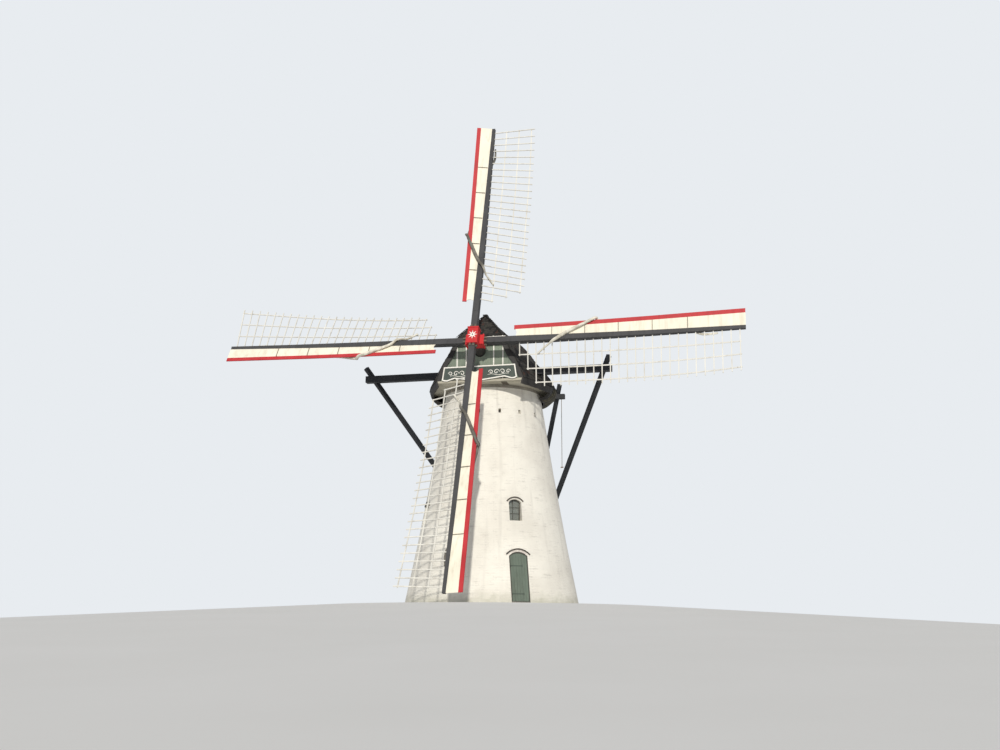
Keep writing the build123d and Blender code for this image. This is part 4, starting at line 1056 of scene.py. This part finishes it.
# Board under the gable. A dark green board with a wavy foot and a white moulding nailed
# round its edge; in its field stand painted scrolls, carved flat from thin wood.
BOARD_FOOT = ((0, 10.7), (0.6, 10.772), (1.02, 10.822), (1.25, 10.85), (1.42, 10.8), (1.6, 10.74))
BOARD_SIDE = ((1.76, 10.745), (1.88, 10.79))
BOARD_CORNER = (1.79, 11.47)
MOULDING_WIDTH = 0.062
MOULDING_DEPTH = 0.028
MOULDING_INSET = MOULDING_WIDTH / 2 + 0.004
RIBBON_EDGE = 0.55
RIBBON_SHOULDER = 0.6
SCROLL_LEVEL = 11.12
SCROLL_TURNS = 1.15
SCROLL_STEPS = 14
SCROLL_RIBBON = (0.032, 0.01)
LEAF_RIBBON = (0.022, 0.008)
SCROLLS = ((0.58, 0.105, math.pi, -1), (0.86, 0.125, 0.0, 1), (1.16, 0.125, math.pi, -1), (1.45, 0.1, 0.0, 1))
BOARD_FACE = -3.045
on_board = in_front_of(BOARD_FACE)


def ribbon(way, width, depth, closed=False, taper=False):
    """Flat moulding on the board along a line of points, with its front edges taken off."""
    count = len(way)
    shoulder = depth * RIBBON_SHOULDER
    profile = [(1, CLEAR_OF_FACE), (1, shoulder), (RIBBON_EDGE, depth)]
    profile += [(-edge, out) for edge, out in reversed(profile)]
    points = []
    for number, point in enumerate(way):
        here = Vector(point)
        before = Vector(way[number - 1]) if closed or number else here
        after = Vector(way[(number + 1) % count]) if closed or number < count - 1 else here
        first = (here - before).normalized() if here != before else (after - here).normalized()
        second = (after - here).normalized() if after != here else first
        side = Vector((-first.y - second.y, first.x + second.x)).normalized()
        spread = min(2.0, 1 / max(0.4, side.dot(Vector((-first.y, first.x)))))
        share = 0.35 + 0.65 * math.sin(math.pi * (0.12 + 0.76 * number / (count - 1))) if taper else 1
        for edge, out in profile:
            spot = here + side * (width / 2 * spread * share * edge)
            points.append(on_board(spot.x, spot.y, out))
    faces = tube_faces(count, 6)
    if closed:
        last = (count - 1) * 6
        ends = [(edge, (edge + 1) % 6) for edge in range(6)]
        faces[-2:] = [(last + edge, last + after, after, edge) for edge, after in ends]
    return points, faces


def scroll(middle_x, size, start, hand):
    """Spiral line, as on a carved scroll."""
    way = []
    steps = int(SCROLL_TURNS * SCROLL_STEPS)
    for number in range(steps + 1):
        share = number / steps
        radius = size * (1 - share) ** 0.8 + 0.012
        angle = start + hand * 2 * math.pi * SCROLL_TURNS * share
        way.append((middle_x + radius * math.cos(angle), SCROLL_LEVEL + radius * math.sin(angle)))
    return way


board_way = [(x, z + MOULDING_INSET) for x, z in BOARD_FOOT]
board_way += [(x - MOULDING_INSET, z + MOULDING_INSET) for x, z in BOARD_SIDE]
board_way += [(BOARD_CORNER[0] - MOULDING_INSET, BOARD_CORNER[1] - MOULDING_INSET)]
board_way += [(-x, z) for x, z in reversed(board_way[1:])]
moulding = ribbon(board_way, MOULDING_WIDTH, MOULDING_DEPTH, closed=True)
make_piece("board_moulding", [moulding], trim_white, "cap")
scrolls = []
for hand in (1, -1):
    for place, size, start, spin in SCROLLS:
        way = scroll(hand * place, size, start if hand > 0 else math.pi - start, spin * hand)
        scrolls.append(ribbon(way, *SCROLL_RIBBON, taper=True))
    leaf_way = [(hand * (0.42 + 0.15 * step), 10.99 + 0.035 * math.sin(step * 1.3)) for step in range(8)]
    scrolls.append(ribbon(leaf_way, *LEAF_RIBBON, taper=True))
make_piece("board_scrolls", scrolls, trim_white, "cap")
dress(painted("board_green", (64, 76, 70), BARE_WOOD, (88, 96, 86), 0.2, 0.5), "beard_board")

# Beams and tail. Two long squared timbers pass through the cap, and four braces run down
# from them to the foot of the tail pole behind the mill; all are tarred against the rain.
beam_tar = painted("beam_tar", (28, 32, 38), (80, 76, 72), (46, 48, 52), 0.35, 0.5, 0.004)
dress(beam_tar, "long_spruce", "short_spruce", "tail_pole", "long_braces", "short_braces")

# Windshaft and poll end. A cast iron neck turns in a bearing of bluestone, and its head
# is two crossed boxes, painted red with a white star, in which the stocks are wedged.
SHAFT_RISE = math.radians(14.85)
HUB = Vector((0, -4.249, 12.589))
STOCK_SPACING = 0.47
CROSS_TURN = math.radians(1.06)
SOCKET_HALF_LENGTH = 0.45
SOCKET_HALF_WIDTH = 0.25
SOCKET_HALF_DEPTH = 0.22
STAR_POINTS = 16
STAR_REACH = 0.245
STAR_WAIST = 0.088
STAR_DEPTH = 0.008
STAR_EDGE = 0.003
BOLT_RINGS = ((0.034, 0.001), (0.034, 0.016), (0.026, 0.024), (0.008, 0.026))
BOLT_SIDES = 16
STOCK_HALF_WIDTH = 0.151
STOCK_HALF_DEPTH = 0.156
RIM_HEIGHT = 0.075
RIM_STEP = 0.026
FACE_WEDGE = (0.045, 0.16, 0.06, 0.045)
SIDE_WEDGE = (0.05, 0.14, 0.08, 0.06)
FACE_WEDGE_PLACE = 0.085
WEDGE_DRIVEN = 0.02
shaft_dir = Vector((0, -math.cos(SHAFT_RISE), math.sin(SHAFT_RISE)))
sail_up = Vector((0, math.sin(SHAFT_RISE), math.cos(SHAFT_RISE)))


def sail_matrix(number):
    """Frame of a sail in the part: X to the trailing side, Y outward, Z forward."""
    origin = HUB if number % 2 == 0 else HUB - shaft_dir * STOCK_SPACING
    turn = Matrix((ACROSS, sail_up, shaft_dir)).transposed().to_4x4()
    spin = Matrix.Rotation(-CROSS_TURN - math.pi / 2 * number, 4, "Z")
    return cap_to_part @ Matrix.Translation(origin) @ turn @ spin


stock_frames = {"outer_stock": sail_matrix(0), "inner_stock": sail_matrix(1)}
star_outline = circle(STAR_REACH, STAR_POINTS)
star_outline[1::2] = circle(STAR_WAIST, STAR_POINTS)[1::2]


def on_poll(across, level, out):
    """Point in front of the poll end."""
    return stock_frames["outer_stock"] @ Vector((across, level, SOCKET_HALF_DEPTH + out))


star_points = [on_poll(0, 0, STAR_DEPTH)]
star_points += [on_poll(x, y, out) for out in (STAR_EDGE, CLEAR_OF_FACE) for y, x in star_outline]
star_faces = []
for number in range(1, STAR_POINTS + 1):
    after = number % STAR_POINTS + 1
    star_faces += [(0, after, number), (number, after, after + STAR_POINTS, number + STAR_POINTS)]
make_piece("poll_star", [(star_points, star_faces)], trim_white, "sails")
bolt = [on_poll(x, y, out) for radius, out in BOLT_RINGS for x, y in circle(radius, BOLT_SIDES)]
bolt = (bolt, tube_faces(len(BOLT_RINGS), BOLT_SIDES))
make_piece("star_bolt", [bolt], forged_iron, "sails", smooth=True)


def wedge(frame, spot, across, out, end, size):
    """Wedge that is driven into a socket beside the stock, thickest at its inner end."""
    half, length, foot, head = size
    start = SOCKET_HALF_LENGTH - WEDGE_DRIVEN
    stations = [(start, foot), (start + length, head)]
    stations = [(spot + BACK * (end * reach), across, out, half, 0, thick) for reach, thick in stations]
    return plank(frame, stations)


rims = []
wedges = []
rim_rings = (
    (SOCKET_HALF_LENGTH - RIM_HEIGHT, 0.001),
    (SOCKET_HALF_LENGTH - RIM_HEIGHT + 0.012, RIM_STEP),
    (SOCKET_HALF_LENGTH - 0.008, RIM_STEP),
    (SOCKET_HALF_LENGTH + 0.002, RIM_STEP - 0.01),
)
for frame in stock_frames.values():
    for end in (1, -1):
        stations = []
        for reach, grown in rim_rings:
            deep = SOCKET_HALF_DEPTH + grown
            stations.append((BACK * (end * reach), ACROSS, UP, SOCKET_HALF_WIDTH + grown, -deep, deep))
        rims.append(plank(frame, stations))
        for face in (1, -1):
            for side in (-FACE_WEDGE_PLACE, FACE_WEDGE_PLACE):
                spot = Vector((side, 0, face * STOCK_HALF_DEPTH))
                wedges.append(wedge(frame, spot, ACROSS, UP * face, end, FACE_WEDGE))
        for side in (-1, 1):
            wedges.append(wedge(frame, ACROSS * (side * STOCK_HALF_WIDTH), UP, ACROSS * side, end, SIDE_WEDGE))
poll_red = painted("poll_red", (196, 26, 32), (110, 60, 46), (120, 36, 34), 0.2, 0.35)
make_piece("socket_rims", rims, poll_red, "sails")
make_piece("stock_wedges", wedges, bare_wood("wedge_wood", (120, 112, 98), (70, 64, 56)), "sails")
dress(poll_red, "poll_end")
dress(painted("shaft_iron", (54, 50, 48), (98, 62, 44), SOOT, 0.4, 0.4), "windshaft")
dress(clouded("bluestone", 0.5, (30, 30, 30), 6.0, (62, 68, 74), (110, 114, 116), 0.002), "neck_bearing")

# Stocks. Long tapered boxes of steel plate on angle bars, riveted along their edges, which
# bend forward towards their tips; painted dark grey, with darker runs left by the rain.
HALF_SPAN = 12.7
STOCK_BEND = 0.3
STOCK_STRAIGHT = 1.0
FIRST_BAR = 2.16
STOCK_WIDTHS = (0.15, 0.085)
STOCK_DEPTHS = (0.155, 0.062)
PLATE_LIP = 0.011
PLATE_THICKNESS = 0.014
STOCK_RINGS = 50
SPLICE_STEP = 3.1
SPLICE_HALF = 0.17
SPLICE_THICKNESS = 0.01
SPLICE_SUNK = 0.002
SPLICE_INSET = 0.004
RIVET_START = 0.55
RIVET_PITCH = 0.19
RIVET_INSET = 0.03
RIVET_RINGS = ((0.013, -0.001), (0.01105, 0.006), (0.0052, 0.009))
RIVET_SIDES = 6


def bent(reach):
    """How far a stock has bent forward at a distance from the hub."""
    straight = STOCK_BEND * (STOCK_STRAIGHT / HALF_SPAN) ** 2
    return max(0, STOCK_BEND * (reach / HALF_SPAN) ** 2 - straight)


def between_ends(reach, root, tip):
    """Value that changes evenly from the first bar of a sail to its tip."""
    share = max(0, (abs(reach) - FIRST_BAR) / (HALF_SPAN - FIRST_BAR))
    return root + (tip - root) * share


def stepped(start, end, step):
    """Distances from a start up to an end."""
    found = []
    while start < end:
        found.append(start)
        start += step
    return found


def stock_plates(frame):
    """Box of plates from tip to tip, with its splices."""
    body = []
    for ring in range(2 * STOCK_RINGS + 1):
        reach = HALF_SPAN * (ring / STOCK_RINGS - 1)
        wide = between_ends(reach, *STOCK_WIDTHS)
        deep = between_ends(reach, *STOCK_DEPTHS)
        web = wide - PLATE_LIP
        flange = deep - PLATE_THICKNESS
        outline = [(-wide, deep), (wide, deep), (wide, flange), (web, flange), (web, -flange), (wide, -flange)]
        outline += [(-x, -z) for x, z in outline]
        body += [frame @ Vector((x, reach, bent(reach) + z)) for x, z in outline]
    parts = [(body, tube_faces(2 * STOCK_RINGS + 1, 12))]
    for way in (-1, 1):
        for middle in stepped(SPLICE_STEP / 2, HALF_SPAN - 1, SPLICE_STEP):
            for face in (-1, 1):
                stations = []
                for reach in (middle - SPLICE_HALF, middle + SPLICE_HALF):
                    low = bent(reach) + face * (between_ends(reach, *STOCK_DEPTHS) - SPLICE_SUNK)
                    half = between_ends(reach, *STOCK_WIDTHS) - SPLICE_INSET
                    spot = Vector((0, way * reach, low))
                    stations.append((spot, ACROSS, UP * face, half, 0, SPLICE_THICKNESS))
                parts.append(plank(frame, stations))
    return parts


def rivet_rows(frame):
    """Rivets along both edges of the front and the rear plate."""
    parts = []
    for way in (-1, 1):
        for reach in stepped(RIVET_START, HALF_SPAN - 0.05, RIVET_PITCH):
            wide = between_ends(reach, *STOCK_WIDTHS) - RIVET_INSET
            for side in (-wide, wide):
                for face in (-1, 1):
                    level = bent(reach) + face * between_ends(reach, *STOCK_DEPTHS)
                    points = []
                    for radius, rise in RIVET_RINGS:
                        for x, y in circle(radius, RIVET_SIDES):
                            spot = Vector((side + x, way * reach + face * y, level + face * rise))
                            points.append(frame @ spot)
                    parts.append((points, tube_faces(len(RIVET_RINGS), RIVET_SIDES)))
    return parts


stock_grey = painted("stock_grey", (62, 62, 64), (84, 70, 60), (42, 42, 44), 0.12, 0.5)
for name, frame in stock_frames.items():
    plates = make_piece(f"{name}_plates", stock_plates(frame), stock_grey, "sails")
    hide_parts(name)
    make_piece(f"{name}_rivets", rivet_rows(frame), stock_grey, "sails", smooth=True)

# Lattice of the sails. Pine bars through the stock and three long laths behind them,
# painted white, weathered to grey and brown on their edges.
SAIL_TITLES = ("top", "right", "bottom", "left")
lattice_white = painted("lattice_white", (222, 220, 212), (150, 134, 114), (160, 152, 138), 0.5, 0.45)
dress(lattice_white, *[f"sail_frame_{title}" for title in SAIL_TITLES])

# Wind boards. Loose boards on arms before each stock, cream, with a heavier red board along
# the leading edge; narrow cleats cover the joints between them.
BOARD_LEAD = (0.67, 0.86)
BOARD_RISE = (0.24, 0.25)
BOARD_ROOT = (0.14, 0.075)
BOARD_ROOT_RISE = (0.135, 0.065)
BOARD_SEAMS = (3.74, 5.32, 6.9, 8.48, 10.1)
CLEAT_HALF = 0.014
CLEAT_FACES = (0.028, 0.038)
CLEAT_START = 0.03
RED_WIDTH = 0.19
cleats = []
for number in range(4):
    for seam in BOARD_SEAMS:
        forward = BACK * seam + UP * bent(seam)
        root = Vector((-between_ends(seam, *BOARD_ROOT), 0, between_ends(seam, *BOARD_ROOT_RISE))) + forward
        lead = Vector((-between_ends(seam, *BOARD_LEAD), 0, between_ends(seam, *BOARD_RISE))) + forward
        along = (lead - root).normalized()
        out = Vector((along.z, 0, -along.x))
        start = root + along * CLEAT_START
        end = lead - along * RED_WIDTH
        size = (along, out, (end - start).length / 2, *CLEAT_FACES)
        stations = [((start + end) / 2 + BACK * shift, *size) for shift in (-CLEAT_HALF, CLEAT_HALF)]
        cleats.append(plank(sail_matrix(number), stations))
seam_wood = painted("seam_wood", (124, 116, 100), (96, 84, 68), (70, 66, 60), 0.3, 0.5)
make_piece("board_cleats", cleats, seam_wood, "sails")
dress(painted("board_cream", (243, 237, 218), (176, 160, 130), (190, 180, 156), 0.2, 0.4), "wind_boards")
dress(painted("board_red", (190, 44, 50), (146, 92, 80), (136, 40, 44), 0.25, 0.35), "leading_boards")

# Furled sails. Each canvas is rolled up along its length and made fast: it leaves the inner
# laths, goes over the stock, round the wind boards and out behind the arms to the outer bars.
CLOTH_WAY = (
    (0.676, 3.05, -0.2, 0.05),
    (0.309, 3.55, -0.041, 0.055),
    (0.218, 3.8, 0.158, 0.07),
    (0.109, 4.01, 0.204, 0.078),
    (-0.13, 4.33, 0.19, 0.08),
    (-0.56, 5.25, 0.278, 0.082),
    (-0.762, 5.7, 0.338, 0.08),
    (-0.862, 5.86, 0.236, 0.07),
    (-0.775, 6.03, 0.098, 0.066),
    (-0.56, 7.5, 0.046, 0.062),
    (-0.33, 9.6, -0.018, 0.06),
    (-0.23, 10, -0.132, 0.058),
    (-0.02, 10.4, -0.162, 0.058),
    (0.17, 10.8, -0.124, 0.055),
    (0.15, 11.45, -0.118, 0.045),
)
CLOTH_RUN_STEPS = 9
CLOTH_TURN_STEPS = 15
CLOTH_COLUMNS = 4 * CLOTH_TURN_STEPS
CLOTH_CORE = 0.2
# Painted shade on the top and bottom rolls: how dark they get, and the share of each roll's length over which
# the shade grows in from its inner end.
CLOTH_PAINTED_SHADE = 0.85
CLOTH_SHADE_RAMP_SHARE = 0.2


def smooth_way(stops, radii, steps):
    """Points and radii on a smooth line through the stops."""
    points = []
    widths = []
    last = len(stops) - 1
    for number in range(last):
        around = [stops[max(0, number - 1)], stops[number], stops[number + 1], stops[min(last, number + 2)]]
        for step in range(steps + (number == last - 1)):
            share = step / steps
            weights = (
                -0.5 * share**3 + share**2 - 0.5 * share,
                1.5 * share**3 - 2.5 * share**2 + 1,
                -1.5 * share**3 + 2 * share**2 + 0.5 * share,
                0.5 * share**3 - 0.5 * share**2,
            )
            points.append(sum((stop * weight for stop, weight in zip(around, weights)), Vector()))
            widths.append(radii[number] + (radii[number + 1] - radii[number]) * share)
    return points, widths


def furled(number):
    """Points and faces of one rolled canvas, a single sheet wound on itself."""
    stops = [Vector((x, reach, z + STOCK_BEND * (reach / HALF_SPAN) ** 2)) for x, reach, z, _ in CLOTH_WAY]
    way, widths = smooth_way(stops, [stop[3] for stop in CLOTH_WAY], CLOTH_RUN_STEPS)
    frame = sail_matrix(number)
    points = []
    faces = []
    side = UP
    travelled = 0
    for row, here in enumerate(way):
        ahead = (way[min(row + 1, len(way) - 1)] - way[max(row - 1, 0)]).normalized()
        side = (side - ahead * side.dot(ahead)).normalized()
        other = ahead.cross(side)
        travelled += (here - way[row - 1]).length if row else 0
        for column in range(CLOTH_COLUMNS + 1):
            turn = 2 * math.pi * column / CLOTH_TURN_STEPS + 0.9 * travelled + number
            share = column / CLOTH_COLUMNS
            folds = 0.11 * math.sin(2 * turn + 2.3 * travelled) + 0.07 * math.sin(5 * turn - 5.1 * travelled)
            crease = 0.05 * math.sin(9 * travelled + 3 * turn)
            radius = widths[row] * (CLOTH_CORE + (1 - CLOTH_CORE) * share) * (1 + (folds + crease) * share)
            points.append(frame @ (here + side * radius * math.cos(turn) + other * radius * math.sin(turn)))
            if row and column:
                corner = row * (CLOTH_COLUMNS + 1) + column
                faces.append((corner - CLOTH_COLUMNS - 2, corner - CLOTH_COLUMNS - 1, corner, corner - 1))
    return points, faces


def canvas_finish():
    """Sail canvas with its weave and stains, mixed by each face's tone with a dark painted shade."""
    finish, tree, place = new_finish("sail_canvas", 0.9)
    stains = noise(place, 3.4, 5.0, 0.6)
    clean = mix(mask(stains, 0.35, 0.7), (240, 236, 222), (190, 184, 168))
    # Dark grey painted shade for the rolled canvas.
    painted_shade = mix(mask(stains, 0.3, 0.65), (92, 88, 80), (56, 54, 50))
    values = (("Vector", place), ("Scale", 190.0), ("Distortion", 1.5))
    weave = times(made_by("ShaderNodeTexWave", values, "Fac"), 0.12)
    height = calculate("MULTIPLY_ADD", noise(place, 26.0, 4.0, 0.6), 0.8, weave)
    return complete(finish, mix(tone_of(tree), clean, painted_shade), height, 0.012)


canvas = canvas_finish()
for number, title in enumerate(SAIL_TITLES):
    cloth = furled(number)
    roll = make_piece(f"furled_canvas_{title}", [cloth], canvas, "sails", smooth=True)
    rows = [face // CLOTH_COLUMNS for face in range(len(cloth[1]))]
    # The top and bottom rolls get painted shade that grows along each roll; the left and right rolls stay
    # light.
    painted_shade = 0.0 if number % 2 else CLOTH_PAINTED_SHADE
    add_tones(roll, [painted_shade * min(1, row / (CLOTH_SHADE_RAMP_SHARE * (rows[-1] + 1))) for row in rows])
